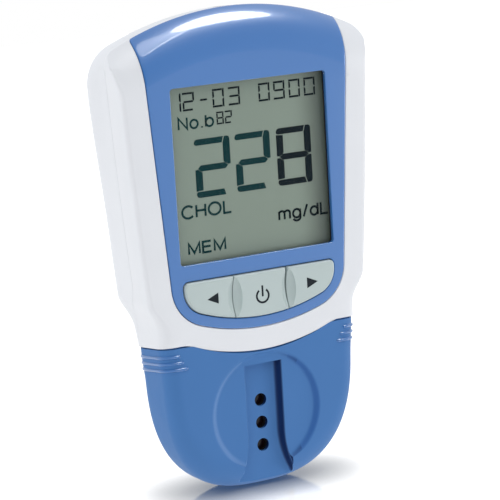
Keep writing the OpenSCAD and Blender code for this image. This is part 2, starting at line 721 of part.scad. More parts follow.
// Path of a grip rib from the front edge down the side: place, then direction out of the cap
function rib_path(start) = concat(
    start > 0 ? [] : [[neck_w / 2 - neck_r + start * neck_r * PI / 180, cap_z, 0, 1]],
    [for (i = [0:5]) let (a = mix(max(0, start), 90, i / 5))
        [neck_w / 2 - neck_r + neck_r * sin(a), cap_z - neck_r + neck_r * cos(a), sin(a), cos(a)]],
    [for (i = [1:3]) [neck_w / 2, mix(cap_z - neck_r, neck_lift + neck_back_r, i / 3), 1, 0]],
    [for (i = [1:3]) let (a = 20 * i)
        [neck_w / 2 - neck_back_r * (1 - cos(a)), neck_lift + neck_back_r * (1 - sin(a)), cos(a), -sin(a)]]
);
rib_section = [[-0.75, -0.35], [-0.45, 0.12], [-0.2, 0.36], [0, 0.42], [0.2, 0.36], [0.45, 0.12], [0.75, -0.35]];
module rib(side, k) {
    path = rib_path(14 - 12 * k);
    last = len(path) - 1;
    y = joint_y + 2.1 - rib_pitch * k;
    rings = [for (i = [0:last])
        let (p = path[i], rise = i == 0 || i == last ? 0 : i == 1 || i == last - 1 ? 0.7 : 1)
        [for (q = rib_section) let (out = q[1] < 0 ? q[1] : q[1] * rise - 0.1 * (1 - rise))
            [side * (p[0] + out * p[2]), y + q[0] * (0.5 + 0.5 * rise) - rib_slant * (cap_z - p[1]),
                p[1] + out * p[3]]]];
    loft(side < 0 ? rings : [for (r = rings) reversed(r)]);
}
channel_end = dish_y + 14;
channel_draft = 0.52;
trough_wall = 2.4;
function channel_ring(z, more = 0) =
    let (rise = channel_draft * (z - channel_z), w = channel_w / 2 + rise + more, mouth = dish_y - 6.5,
        right = [for (i = [8:-1:0]) let (y = mix(mouth, end_y - 4, i / 8))
            [w + 0.02 * pow(mouth - y, 2) - 0.08 * i * rise, y, z]],
        whole = concat(right, [[w, channel_end + more, z]]))
    concat(whole, [for (p = reversed(whole)) [-p[0], p[1], z]]);
module sensor_cap() color("#4676b6") {
    ceiling = dish_z - channel_floor_t;
    difference() {
        union() {
            cap_form(neck_lift, cap_z, 0, -joint_gap, neck_r, cap_end_r, neck_back_r);
            for (s = [-1, 1]) for (k = [0:2]) rib(s, k);
        }
        difference() {
            cap_form(neck_lift + cap_wall, ceiling, cap_wall, wall + 3, neck_r - cap_wall,
                cap_end_r - cap_wall, neck_back_r - cap_wall);
            loft([for (z = [channel_z - channel_floor_t, body_t]) channel_ring(z, trough_wall)], true);
        }
        translate([0, dish_y, dish_z])
            rotate_extrude($fn = 96)
                polygon([[0, 0], [dish_r, 0], [dish_r + 0.6, 0.09 * dish_d], [dish_r + 1.1, 0.32 * dish_d],
                    [dish_r + 1.5, 0.68 * dish_d], [dish_r + 2, 0.93 * dish_d],
                    [dish_r + 2.6, 1.03 * dish_d], [dish_r + 2.6, 2 * dish_d], [0, 2 * dish_d]]);
        loft([channel_ring(channel_z), channel_ring(cap_z + 1)], true);
        for (k = [-1:1])
            translate([0, hole_y + k * light_pitch, channel_z - channel_floor_t - 1])
                cylinder(d = light_hole_d, h = channel_floor_t + 2);
    }
}

// Optics in the nose
block_w = 9;
block_l = 2 * light_pitch + 6.4;
base_w = 22;
base_l = block_l + 3.4;
base_top = nose_z - nose_wall - 1;
optic_board_z = nose_low + nose_wall + screw_head_t + 3 * seat;
optic_top = optic_board_z + board_t;
bore_d = light_hole_d - 0.9;
window_d = light_hole_d - 0.2;
window_z = nose_z - 1.8;
window_t = 0.8;
emitter_h = 2.6;
optic_screw_x = base_w / 2 - 3;
optic_pad_x = base_w / 2 + 0.7;
module optical_block() color("#17181a") {
    difference() {
        union() {
            slab(0, hole_y, base_w, base_l, optic_top + seat, base_top);
            slab(0, hole_y, block_w, block_l, base_top - 1, nose_z);
        }
        for (k = [-1:1]) translate([0, hole_y + k * light_pitch, 0]) {
            cylinder(d = bore_d, h = body_t);
            translate([0, 0, window_z]) cylinder(d = window_d, h = body_t);
        }
        for (s = [-1, 1])
            translate([s * optic_screw_x, hole_y, 0]) cylinder(d = screw_d + 2 * screw_gap, h = optic_top + 5);
    }
}
module optical_windows() color("#3a1518") {
    for (k = [-1:1])
        translate([0, hole_y + k * light_pitch, window_z + seat]) cylinder(d = window_d - 0.1, h = window_t);
}
module optical_emitters() color("#d9dde2") {
    for (k = [-1:1]) translate([0, hole_y + k * light_pitch, optic_top + seat])
        cylinder(d = bore_d - 0.2, h = emitter_h);
}
module optical_board() color("#2f6b45") {
    difference() {
        slab(0, hole_y + 1.2, base_w + 3, base_l + 1.6, optic_board_z, optic_top);
        for (s = [-1, 1])
            translate([s * optic_screw_x, hole_y, 0]) cylinder(d = screw_d + 0.3, h = body_t);
    }
}
module screw(x, y, z, length) {
    translate([x, y, z]) {
        cylinder(d = screw_head_d, h = screw_head_t);
        cylinder(d = screw_d, h = length);
    }
}
module optical_screws() color("#8f9296") {
    for (s = [-1, 1])
        screw(s * optic_screw_x, hole_y, optic_board_z - screw_head_t - seat, screw_head_t + board_t + 4.5);
}
module board_screws() color("#8f9296") {
    for (p = board_posts)
        screw(p[0], p[1], board_z - screw_head_t - seat, post_screw_top - board_z + screw_head_t);
}
module housing_screws() color("#8f9296") {
    for (p = housing_bosses) screw(p[0], p[1], screw_z - seat, screw_top - screw_z);
}

// Flat cable from the optical board to the main board
cable_t = 0.25;
cable_w = 9;
cable_lap = 11;
module flat_cable() color("#c9a86a") {
    y0 = hole_y + base_l / 2 + 0.3;
    y1 = board_end + cable_lap;
    z0 = optic_top + seat;
    z1 = board_z - seat - cable_t;
    y2 = board_end + 3;
    path = [[y0, z0], [y0 + 3, z0 + 0.3], [mix(y0, y2, 0.45), mix(z0, z1, 0.3)],
        [mix(y0, y2, 0.7), mix(z0, z1, 0.75)], [y2 - 2.5, z1 - 0.2], [y2, z1], [y1, z1]];
    translate([-cable_w / 2, 0, 0])
        rotate([90, 0, 90])
            linear_extrude(cable_w)
                polygon(concat(path, [for (p = reversed(path)) [p[0], p[1] + cable_t]]));
}

// Code chip and its socket
chip_y = disp_y + 2;
chip_z = bay_floor_z + 7.4;
chip_proud = 0.6;
chip_end = side_x(chip_y) + chip_proud;
socket_wall = 1.2;
socket_room = 1.9;
chip_l = chip_end - socket_wall - socket_room - bay_w / 2 - bay_wall;
module code_chip_socket() color("#2a2c30") {
    x0 = chip_end - chip_l - socket_wall;
    x1 = side_x(chip_y) - wall - 0.8;
    difference() {
        slab((x0 + x1) / 2, chip_y, x1 - x0, chip_w + 2.6, chip_z - 1, board_z - seat);
        slab(chip_end, chip_y, 2 * chip_l + 0.4, chip_w + 0.3, chip_z - 0.15, chip_z + chip_t + 0.15);
    }
}
module code_chip() color("#2c4f86") {
    slab(chip_end - chip_l / 2, chip_y, chip_l, chip_w, chip_z, chip_z + chip_t);
}

// Battery door, which swings on two tabs under the housing's lip
latch_w = 12;
latch_l = 1.2;
latch_top = 4;
module battery_door() color("#e6e9ee") {
    slab(0, bay_y, door_w, door_l, 0, door_t);
    for (s = [-1, 1]) {
        slab(s * tab_x, hinge_y - 0.75, tab_w, 1.5, door_t / 2, tab_z + tab_t);
        slab(s * tab_x, hinge_y + (tab_l - 0.5) / 2, tab_w, tab_l + 0.5, tab_z, tab_z + tab_t);
    }
    slab(0, bay_y - door_l / 2 - latch_l / 2 + 0.01, latch_w, latch_l + 0.02, 0, door_t);
}

// Cells, nub to the top end on the odd ones
nub_d = 3.8;
nub_h = 0.9;
module cell(i) color("#9aa3ad") {
    up = i % 2 == 1 ? 1 : -1;
    translate([(i - 2.5) * cell_pitch, bay_y, bay_floor_z + cell_d / 2 + cell_gap / 2])
        rotate([-90 * up, 0, 0])
            translate([0, 0, -cell_l / 2]) {
                cylinder(d = cell_d, h = cell_l - nub_h);
                cylinder(d = nub_d, h = cell_l);
            }
}

// Contact plates with a sprung leaf at each negative end and a boss at each nub
plate_t = 0.3;
contact_low = tab_z + tab_t + 1.1;
contact_high = bay_roof_z - 0.6;
module contacts(up, groups) color("#c2c5c9") {
    wall_y = bay_y + up * bay_l / 2;
    for (g = groups) {
        x0 = (g[0] - 2.5) * cell_pitch - 3.5;
        x1 = (g[len(g) - 1] - 2.5) * cell_pitch + 3.5;
        slab((x0 + x1) / 2, wall_y - up * (plate_t / 2 + seat), x1 - x0, plate_t, contact_low, contact_high);
        for (i = g) translate([(i - 2.5) * cell_pitch, wall_y - up * (plate_t / 2 + seat), 0])
            if ((i % 2 == 1) == (up == 1))
                translate([0, 0, bay_floor_z + cell_d / 2 + cell_gap / 2])
                    rotate([90 * up, 0, 0]) cylinder(d = 5, h = contact_room - plate_t / 2 - 2 * seat);
            else
                translate([-3, 0, 0])
                    rotate([90, 0, 90])
                        linear_extrude(6)
                            polygon([for (p = [[0, contact_low + 0.1], [1.9, contact_low + 2.6],
                                    [1.9, contact_low + 4], [0.2, contact_low + 6], [0.2, contact_low + 5.5],
                                    [1.6, contact_low + 3.8], [1.6, contact_low + 2.8], [0, contact_low + 0.6]])
                                [-up * p[0], p[1]]]);
    }
}

front_housing();
rear_housing();
faceplate();
display_lens();
display_gasket();
lcd_panel();
lcd_holder();
connector_strips();
main_board();
microcontroller();
board_parts();
buzzer();
usb_socket();
key(-1);  // left_button
key(0);  // power_button
key(1);  // right_button
return_dome(-1);  // left_dome
return_dome(0);  // power_dome
return_dome(1);  // right_dome
sensor_cap();
optical_block();
optical_windows();
optical_emitters();
optical_board();
flat_cable();
code_chip_socket();
code_chip();
battery_door();
cell(1);  // battery_1
cell(2);  // battery_2
cell(3);  // battery_3
cell(4);  // battery_4
contacts(1, [[1, 2], [3, 4]]);  // upper_contacts
contacts(-1, [[1], [2, 3], [4]]);  // lower_contacts
housing_screws();
board_screws();
optical_screws();
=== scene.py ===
from math import acos, atan, atan2, cos, degrees, hypot, pi, radians, sin, sqrt

import bmesh
import bpy
import numpy as np
from mathutils import Matrix, Vector
from mathutils.bvhtree import BVHTree
from mathutils.interpolate import poly_3d_calc
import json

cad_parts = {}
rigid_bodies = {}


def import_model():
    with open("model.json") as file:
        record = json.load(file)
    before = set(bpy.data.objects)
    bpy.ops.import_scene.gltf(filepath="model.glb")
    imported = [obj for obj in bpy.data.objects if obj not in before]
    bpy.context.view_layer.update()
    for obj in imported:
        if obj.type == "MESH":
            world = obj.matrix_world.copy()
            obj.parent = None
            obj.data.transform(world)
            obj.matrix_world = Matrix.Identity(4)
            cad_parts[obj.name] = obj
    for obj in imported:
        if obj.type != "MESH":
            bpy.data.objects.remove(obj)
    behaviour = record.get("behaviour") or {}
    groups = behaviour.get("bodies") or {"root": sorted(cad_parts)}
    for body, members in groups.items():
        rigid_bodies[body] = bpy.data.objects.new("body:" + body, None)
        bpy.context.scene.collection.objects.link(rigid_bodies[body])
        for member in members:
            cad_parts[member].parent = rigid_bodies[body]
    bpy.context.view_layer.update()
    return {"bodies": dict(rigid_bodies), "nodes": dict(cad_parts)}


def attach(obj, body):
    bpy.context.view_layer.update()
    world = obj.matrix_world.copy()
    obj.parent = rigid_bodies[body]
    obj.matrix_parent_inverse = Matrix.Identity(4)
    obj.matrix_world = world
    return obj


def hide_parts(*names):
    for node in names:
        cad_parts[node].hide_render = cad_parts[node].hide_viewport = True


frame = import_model()
scene = bpy.context.scene
MM = 0.001

# ---- Sizes in millimetres ----
# They are those of the solids, but the neck, the back's corners, the joint groove, the ribs and
# the channel follow the outline of the object a little more closely.
BODY_L, BODY_T = 139.6, 26.0
TOP_W, WAIST_W, NECK_W = 79.4, 71.0, 62.0
SHOULDER_L, TOP_R = 8.6, 88.0
CORNER_R, CORNER_OUT = 5.0, 1.0
WALL, BACK_R, NECK_BACK_R, NECK_LIFT = 2.2, 6.5, 7.0, 4.6
BEZEL_R, NECK_R, BEZEL_DROP, BEZEL_STEP = 1.3, 3.6, 0.4, 0.2
FLARE, FLARE_L, NECK_PROUD = 0.8, 12.0, 0.35
BACK_OUT, BACK_OUT_L, BACK_FALL, BACK_CORNER_R = 1.0, 40.0, 1.0, 13.0
PARTING_Z, NECK_PARTING_Z = 15.7, 9.6
FACE_W, FACE_TAPER, FACE_T, FACE_GAP = 60.7, 0.1366, 2.0, 0.15
ROLL_R, ROLL_W = 14.85, 12.65
CHIN_R, CHIN_CORNER_R, TIP_R, TIP_DROP, CEILING_T = 61.6, 12.5, 3.5, 7.1, 1.6
DISPLAY_W, DISPLAY_FROM_TOP, LENS_T, LENS_SUNK, GASKET_T, LCD_T = 50.0, 45.6, 1.8, 0.2, 0.4, 2.0
KEYS_W, KEYS_H, KEYS_GAP, POWER_W = 49.0, 12.8, 4.9, 17.6
KEY_PROUD, KEY_GAP, KEY_EDGE, KEY_LIP, KEY_LIP_T = 0.8, 0.25, 0.75, 1.2, 1.1
JOINT_FROM_DISPLAY, JOINT_R, JOINT_RISE, JOINT_SLANT = 52.6, 70.0, 4.9, 0.11
CAP_WALL, CAP_FLOOR_T, CAP_SUNK, CAP_END_L, CAP_END_R, CAP_EDGE_R = 2.0, 1.5, 0.4, 40.0, 9.5, 4.5
DISH_R, DISH_D, DISH_FROM_END = 15.6, 1.1, 23.0
CHANNEL_W, CHANNEL_D, CHANNEL_DRAFT = 9.8, 2.0, 0.52
LIGHT_HOLE_D, LIGHT_PITCH = 3.8, 6.7
RIB_PITCH, RIB_SLANT = 1.9, 0.125
USB_W, USB_LOW, USB_HIGH = 8.2, 11.6, 16.0
SEAT, SLIP, JOINT_GAP = 0.05, 0.3, 0.5

# Levels up from the back
FACE_Z = BODY_T - KEY_PROUD
CEILING_Z = FACE_Z - FACE_T - SEAT - CEILING_T
CAP_Z = FACE_Z - CAP_SUNK
DISH_Z = CAP_Z - DISH_D
CHANNEL_Z = DISH_Z - CHANNEL_D
NOSE_Z = CHANNEL_Z - CAP_FLOOR_T - SLIP
LENS_TOP = FACE_Z - LENS_SUNK
LENS_Z = LENS_TOP - LENS_T
LCD_TOP = LENS_Z - GASKET_T - SEAT
LCD_Z = LCD_TOP - LCD_T
FACE_TIP_Z = FACE_Z - TIP_DROP
KEY_LIP_Z = CEILING_Z - SEAT - KEY_LIP_T

# Stations along the length
TOP_Y, END_Y = BODY_L / 2, -BODY_L / 2
DISP_Y = TOP_Y - DISPLAY_FROM_TOP
ARC_Y = TOP_Y - TOP_R
WAIST_Y = DISP_Y - 34.4
NECK_Y = WAIST_Y - SHOULDER_L
JOINT_Y = DISP_Y - JOINT_FROM_DISPLAY
DISH_Y = END_Y + DISH_FROM_END
HOLE_Y = DISH_Y - 4.05
KEYS_TOP = DISP_Y - DISPLAY_W / 2 - KEYS_GAP
KEYS_END = KEYS_TOP - KEYS_H
CHIN_Y = KEYS_END - 3.2
ROLL_START = TOP_R - ROLL_W
SIDE_BOW = 0.3
SIDE_SLOPE = (TOP_W - WAIST_W) / 2 / (DISP_Y + 27 - WAIST_Y)


# ---- Curves of the solids ----
def ease(t):
    u = np.clip(t, 0.0, 1.0)
    return u * u * (3 - 2 * u)


def mix(a, b, t):
    return a + (b - a) * t


def roll_drop(r):
    out = np.clip(r - ROLL_START, 0, ROLL_R * 0.999)
    return ROLL_R - np.sqrt(ROLL_R * ROLL_R - out * out)


def face_at(x, y):
    return FACE_Z - roll_drop(np.hypot(x, y - ARC_Y))


def joint_at(x):
    flat = JOINT_Y + JOINT_RISE
    arc = JOINT_Y + JOINT_R - np.sqrt(JOINT_R * JOINT_R - x * x)
    return (arc + flat - np.hypot(arc - flat, 0.25)) / 2


def neck_share(y):
    return ease((y - NECK_Y) / (WAIST_Y - NECK_Y))


def back_share(y):
    """The back rises to the neck over a longer way than the sides draw in."""
    return ease((y - JOINT_Y - 2) / (WAIST_Y - JOINT_Y - 2))


def lift_at(y):
    return NECK_LIFT * (1 - back_share(y))


def back_edge_r(y):
    return mix(NECK_BACK_R, BACK_R, back_share(y))


def flared(p):
    """The cap widens a little towards the joint."""
    q = p.copy()
    at_joint = JOINT_Y + JOINT_RISE
    q[:, 0] *= 1 + 2 * FLARE / NECK_W * ease((p[:, 1] - at_joint) / FLARE_L + 1)
    return q


NECK_HALF = NECK_W / 2 + FLARE + NECK_PROUD


def side_x(y):
    b = (y - WAIST_Y) / (DISP_Y + 30 - WAIST_Y)
    above = WAIST_W / 2 + SIDE_SLOPE * (y - WAIST_Y) + 4 * SIDE_BOW * np.maximum(0, b * (1 - b))
    return np.where(y > WAIST_Y, above, mix(NECK_HALF, WAIST_W / 2, neck_share(y)))


def edge_r(y):
    return mix(NECK_R, BEZEL_R, ease((y - DISP_Y + 47) / 14))


def bezel_fall(s):
    return BEZEL_STEP + BEZEL_DROP * np.maximum(0, 1 - s / 7.5)


def calm(x, y):
    return 1 - 0.85 * np.minimum(1, (FACE_Z - face_at(x, y)) / 4)


def corner_at(s, half_w, at_y, slope, rho, centre_y=ARC_Y, way=1):
    """Centre of a corner that lies s inside a sloping side and rho from an arc's centre."""
    q = 1 + slope * slope
    a = half_w - s * sqrt(q) + slope * (centre_y - at_y)
    v = (way * sqrt(a * a * slope * slope - q * (a * a - rho * rho)) - a * slope) / q
    return a + slope * v, v + centre_y


def points(x, y):
    """Points from their coordinates. A single value serves for all."""
    return np.stack(np.broadcast_arrays(x, y), 1)


def arc(cx, cy, r, a, b, n, last=False):
    """n points of an arc from angle a up to b, which is left out unless last is set."""
    t = np.radians(np.linspace(a, b, n, endpoint=last))
    return points(cx + r * np.cos(t), cy + r * np.sin(t))


def paired(half):
    return np.vstack([half, half[::-1] * [-1, 1]])


def quarter(n):
    """n angles over a quarter turn."""
    return np.linspace(0, pi / 2, n)


def bends(n):
    """How far a round edge of radius 1 still has to go inwards, and has risen, at n steps."""
    return [(1 - sin(a), 1 - cos(a)) for a in quarter(n)]


def unit(v):
    return v / np.linalg.norm(v, axis=1)[:, None]


N_JOINT, N_NECK, N_SIDE, N_CORNER, N_TOP = 46, 22, 24, 12, 36


def housing_ring(d, z, back):
    """Outline of the white housing at height z, inset by d and set back from the joint."""
    r = max(0.8, mix(BACK_CORNER_R, CORNER_R, min(1, max(0, z - 2) / (FACE_TIP_Z - 2))) - d)
    behind = float(ease((PARTING_Z - 3 - z) / 9))
    rim = TOP_R - 0.08 * max(0, FACE_TIP_Z - z) - BACK_FALL * behind
    more = CORNER_OUT * float(ease((z - PARTING_Z) / (FACE_TIP_Z - PARTING_Z))) + BACK_OUT * behind
    ramp = 9 if z > PARTING_Z else BACK_OUT_L
    cx, cy = corner_at(d + r, WAIST_W / 2 + more, WAIST_Y, SIDE_SLOPE, rim - d - r)
    a0 = -degrees(atan(SIDE_SLOPE))
    a1 = degrees(atan2(cy - ARC_Y, cx))
    x0 = NECK_HALF - d
    y0 = float(joint_at(NECK_W / 2)) + back
    y1 = cy + r * sin(radians(a0))
    t = np.linspace(0.02, 0.985, N_JOINT)
    joint = points(x0 * t, joint_at(NECK_W / 2 * t) + back)
    y = np.linspace(y0, WAIST_Y, N_NECK, endpoint=False)
    neck = points(side_x(y) - d, y)
    y = np.linspace(WAIST_Y, y1, N_SIDE, endpoint=False)
    side = points(side_x(y) - d + more * ease((y - y1) / ramp + 1), y)
    corner = arc(cx, cy, r, a0, a1, N_CORNER)
    top = arc(0, ARC_Y, rim - d, a1, 90, 2 * N_TOP)[0::2]
    top[-1] = arc(0, ARC_Y, rim - d, mix(a1, 90, (N_TOP - 1) / (N_TOP - 0.5)), 90, 2)[0]
    return paired(np.vstack([joint, neck, side, corner, top]))


PLAN_Z = np.linspace(0, FACE_Z, 43)


def plan_table(back):
    return np.array([[housing_ring(k, z, back) for k in range(11)] for z in PLAN_Z])


def plan(table, z, s):
    """Points of the outline at heights z, inset by s, both one value for each point."""
    n = table.shape[2]
    i = np.arange(n)
    az = np.clip(np.broadcast_to(z, n) / PLAN_Z[1], 0, len(PLAN_Z) - 1.001)
    ak = np.clip(np.broadcast_to(s, n), 0, 9.999)
    z0, k0 = az.astype(int), ak.astype(int)
    tz, tk = (az - z0)[:, None], (ak - k0)[:, None]
    low = mix(table[z0, k0, i], table[z0, k0 + 1, i], tk)
    high = mix(table[z0 + 1, k0, i], table[z0 + 1, k0 + 1, i], tk)
    return mix(low, high, tz)


def lifted(xy, z):
    return np.concatenate([xy, np.broadcast_to(z, len(xy))[:, None]], 1)


def leaned(p):
    """The joint line leans towards the cap's end at the back."""
    near = 1 - ease((abs(p[:, 1] - JOINT_Y - JOINT_RISE / 2) - JOINT_RISE / 2 - 0.4) / 10)
    q = p.copy()
    q[:, 1] -= JOINT_SLANT * (FACE_Z - p[:, 2]) * near
    return q


# ---- Meshes ----
def linked(name, data):
    obj = bpy.data.objects.new(name, data)
    scene.collection.objects.link(obj)
    return obj


def new_object(name, verts, faces):
    mesh = bpy.data.meshes.new(name)
    mesh.from_pydata([tuple(v) for v in np.asarray(verts, float) * MM], [], faces)
    mesh.validate()
    return linked(name, mesh)


def outward(obj):
    bm = bmesh.new()
    bm.from_mesh(obj.data)
    bmesh.ops.remove_doubles(bm, verts=bm.verts, dist=1e-7)
    bmesh.ops.recalc_face_normals(bm, faces=bm.faces)
    bm.to_mesh(obj.data)
    bm.free()
    return obj


def bands(rows, n, first=0):
    """Faces between each ring of n points and the next, over a number of rows."""
    faces = []
    for k in range(first, first + rows * n, n):
        faces += [(k + i, k + (i + 1) % n, k + n + (i + 1) % n, k + n + i) for i in range(n)]
    return faces


def loft(name, rings, strips=False):
    """Closed solid through rings of points. Strips close the ends of paired rings from side to side."""
    n, last = len(rings[0]), len(rings) - 1
    if strips:
        cover = [(i, i + 1, n - 2 - i, n - 1 - i) for i in range(n // 2 - 1)]
    else:
        cover = [tuple(range(n))]
    ends = [f[::-1] for f in cover] + [tuple(last * n + i for i in f) for f in cover]
    return outward(new_object(name, np.concatenate(rings), bands(last, n) + ends))


def stepped(name, outline, steps):
    """Closed solid through outline(e) at height z, for each e and z of the steps."""
    return loft(name, [lifted(outline(e), z) for e, z in steps])


def prism(name, outline, low, high):
    outline = np.asarray(outline, float)
    return loft(name, [lifted(outline, low), lifted(outline, high)])


CORNERS = ((-1, -1), (1, -1), (1, 1), (-1, 1))


def block(x, y, w, l, low, high):
    outline = [(x + i * w / 2, y + j * l / 2) for i, j in CORNERS]
    return prism("block", outline, low, high)


def rod(x, y, d, low, high, n=64):
    return prism("rod", arc(x, y, d / 2, 0, 360, n), low, high)


def lathe(name, profile, n, x=0.0, y=0.0):
    """Solid of revolution about a line along Z, from (radius, height) pairs that start and end on it."""
    ring = arc(0, 0, 1, 0, 360, n)
    verts = [(x, y, profile[0][1])]
    for r, z in profile[1:-1]:
        verts += [(x + r * cx, y + r * cy, z) for cx, cy in ring]
    verts.append((x, y, profile[-1][1]))
    end = len(verts) - 1
    fans = [(0, 1 + i, 1 + (i + 1) % n) for i in range(n)]
    fans += [(end, end - n + (i + 1) % n, end - n + i) for i in range(n)]
    return outward(new_object(name, verts, bands(len(profile) - 3, n, 1) + fans))


def drop(obj):
    mesh = obj.data
    bpy.data.objects.remove(obj)
    if mesh.users == 0:
        bpy.data.meshes.remove(mesh)


def combine(obj, others, how):
    for other in others:
        mod = obj.modifiers.new("combine", "BOOLEAN")
        mod.operation, mod.solver, mod.object = how, "MANIFOLD", other
        graph = bpy.context.evaluated_depsgraph_get()
        mesh = bpy.data.meshes.new_from_object(obj.evaluated_get(graph))
        obj.modifiers.clear()
        old, obj.data = obj.data, mesh
        bpy.data.meshes.remove(old)
        mesh.name = obj.name
        drop(other)
    return obj


def cut(obj, *others):
    return combine(obj, others, "DIFFERENCE")


def add(obj, *others):
    return combine(obj, others, "UNION")


def keep(obj, other):
    return combine(obj, [other], "INTERSECT")


def copy_of(obj, name="copy"):
    return linked(name, obj.data.copy())


def moved(obj, at, degrees, axis):
    """Turns a mesh about its own origin, and then moves it by millimetres."""
    turn = Matrix.Rotation(radians(degrees), 4, axis)
    obj.data.transform(Matrix.Translation(Vector(at) * MM) @ turn)
    return obj


def smooth_source(obj, crease=40):
    """The shading of a whole surface, kept for the pieces that are cut out of it."""
    mesh = obj.data
    shade(obj, crease)
    polys = [tuple(p.vertices) for p in mesh.polygons]
    loops = [[mesh.corner_normals[i].vector.copy() for i in p.loop_indices] for p in mesh.polygons]
    verts = [v.co.copy() for v in mesh.vertices]
    return BVHTree.FromPolygons(verts, polys), verts, polys, loops


def shade(obj, crease=40):
    mesh = obj.data
    mesh.shade_smooth()
    mesh.set_sharp_from_angle(angle=radians(crease))
    return obj


def shade_like(obj, sources, crease=40):
    """Smooth shading that keeps the uncut surface's normals on each face that lies on it."""
    shade(obj, crease)
    mesh = obj.data
    normals = [c.vector.copy() for c in mesh.corner_normals]
    for poly in mesh.polygons:
        for tree, verts, polys, loops in sources:
            spot, normal, index, gap = tree.find_nearest(poly.center)
            if spot is None or gap > 3e-6 or abs(normal.dot(poly.normal)) < 0.97:
                continue
            side = 1 if normal.dot(poly.normal) > 0 else -1
            for loop in poly.loop_indices:
                co = mesh.vertices[mesh.loops[loop].vertex_index].co
                at = co.lerp(poly.center, 0.03)
                spot, normal, index, gap = tree.find_nearest(at)
                weights = poly_3d_calc([verts[v] for v in polys[index]], spot)
                total = sum((w * n for w, n in zip(weights, loops[index])), Vector())
                if total.length > 0.1:
                    normals[loop] = side * total.normalized()
            break
    mesh.normals_split_custom_set(normals)
    return obj


# ---- Materials ----
def rgba(rgb, level=1.0):
    """A display colour of 0 to 255 as a linear one, times a level."""
    out = []
    for c in rgb:
        c /= 255
        out.append(min(1, level * (c / 12.92 if c <= 0.04045 else ((c + 0.055) / 1.055) ** 2.4)))
    return [*out, 1]


def tree_of(owner):
    owner.use_nodes = True
    return owner.node_tree


def feed(tree, node, inputs):
    """Gives each input a value, or a link from a socket or from a node's first output."""
    for key, value in inputs.items():
        if isinstance(value, bpy.types.Node):
            value = value.outputs[0]
        if isinstance(value, bpy.types.NodeSocket):
            tree.links.new(value, node.inputs[key])
        else:
            node.inputs[key].default_value = value


def add_node(tree, kind, inputs={}, **settings):
    node = tree.nodes.new("ShaderNode" + kind)
    for key, value in settings.items():
        setattr(node, key, value)
    feed(tree, node, inputs)
    return node


def maths(tree, how, *values):
    return add_node(tree, "Math", dict(enumerate(values)), operation=how)


def ranged(tree, value, low, high, to_low=0.0, to_high=1.0, how="SMOOTHSTEP"):
    """A value whose range from low to high is turned into another."""
    inputs = {"Value": value, "From Min": low, "From Max": high, "To Min": to_low, "To Max": to_high}
    return add_node(tree, "MapRange", inputs, interpolation_type=how)


def blended(tree, share, a, b):
    """Colour a with a share of colour b in it."""
    inputs = {"Factor": share, "A": a, "B": b}
    return add_node(tree, "Mix", inputs, data_type="RGBA").outputs["Result"]


def axes(tree, what):
    """Sockets X, Y and Z of an output of the texture coordinates."""
    return add_node(tree, "SeparateXYZ", {0: add_node(tree, "TexCoord").outputs[what]}).outputs


def finish(name, rgb, rough, blotch=0.025, blotch_mm=14, rough_var=0.05, grain=0.12, grain_mm=0.25,
           metal=0.0, coat=0.0, coat_rough=0.05, alpha=1.0, shine=0.5, specks=None):
    """A moulded, coated or printed surface: slight colour and gloss variation, and a fine grain."""
    mat = bpy.data.materials.new(name)
    tree = tree_of(mat)
    at = add_node(tree, "TexCoord").outputs["Object"]

    def noise(size_mm, detail):
        return add_node(tree, "TexNoise", {"Vector": at, "Scale": 1 / (size_mm * MM), "Detail": detail})

    colour = blended(tree, noise(blotch_mm, 3), rgba(rgb, 1 - blotch), rgba(rgb, 1 + blotch))
    if specks:
        speck_mm, speck_rgb = specks
        share = ranged(tree, noise(speck_mm, 1), 0.62, 0.7, how="LINEAR")
        colour = blended(tree, share, colour, rgba(speck_rgb))
    least, most = max(0.02, rough - rough_var), rough + rough_var
    gloss = ranged(tree, noise(blotch_mm * 0.4, 4), 0.2, 0.8, least, most, "LINEAR")
    inputs = {"Base Color": colour, "Roughness": gloss, "Metallic": metal, "Specular IOR Level": shine,
              "Coat Weight": coat, "Coat Roughness": coat_rough, "Coat IOR": 1.6, "Alpha": alpha}
    if grain:
        bump = {"Strength": grain, "Distance": 0.02 * MM, "Height": noise(grain_mm, 2)}
        inputs["Normal"] = add_node(tree, "Bump", bump)
    feed(tree, tree.nodes["Principled BSDF"], inputs)
    return mat


WHITE = finish("white_abs", (222, 224, 228), 0.36, grain=0.1, grain_mm=0.35)
BLUE_FACE = finish("blue_face", (44, 109, 179), 0.31, blotch=0.02, blotch_mm=30, rough_var=0.02,
                   grain=0.0, coat=0.8, coat_rough=0.07, shine=0.6)
BLUE_CAP = finish("blue_cap", (67, 115, 173), 0.52, blotch=0.03, grain=0.16, grain_mm=0.22, shine=0.22)
BLUE_RIBS = finish("blue_ribs", (50, 107, 172), 0.3, blotch=0.03, grain=0.1, grain_mm=0.22,
                   coat=0.7, coat_rough=0.12)
KEY_GREY = finish("key_grey", (179, 192, 191), 0.48, blotch=0.015, grain=0.2, grain_mm=0.2)
KEY_INK = finish("key_ink", (26, 33, 39), 0.5, grain=0.1, shine=0.15)
LENS = finish("lens_clear", (20, 26, 26), 0.06, grain=0.0, alpha=0.06)
LCD_GLASS = finish("lcd_glass", (140, 155, 142), 0.35, blotch=0.035, blotch_mm=18, grain=0.08,
                   grain_mm=0.12)
LCD_TEAL = finish("lcd_teal", (0, 52, 55), 0.5, blotch=0.06, blotch_mm=6, shine=0.1)
LCD_DARK = finish("lcd_dark", (4, 22, 30), 0.5, blotch=0.06, blotch_mm=6, shine=0.1)
BLACK = finish("black_plastic", (28, 29, 32), 0.45, grain=0.25)
FOAM = finish("black_foam", (30, 31, 34), 0.85, grain=0.8, grain_mm=0.18)
RUBBER = finish("black_rubber", (36, 36, 38), 0.7, grain=0.3, specks=(0.3, (96, 96, 98)))
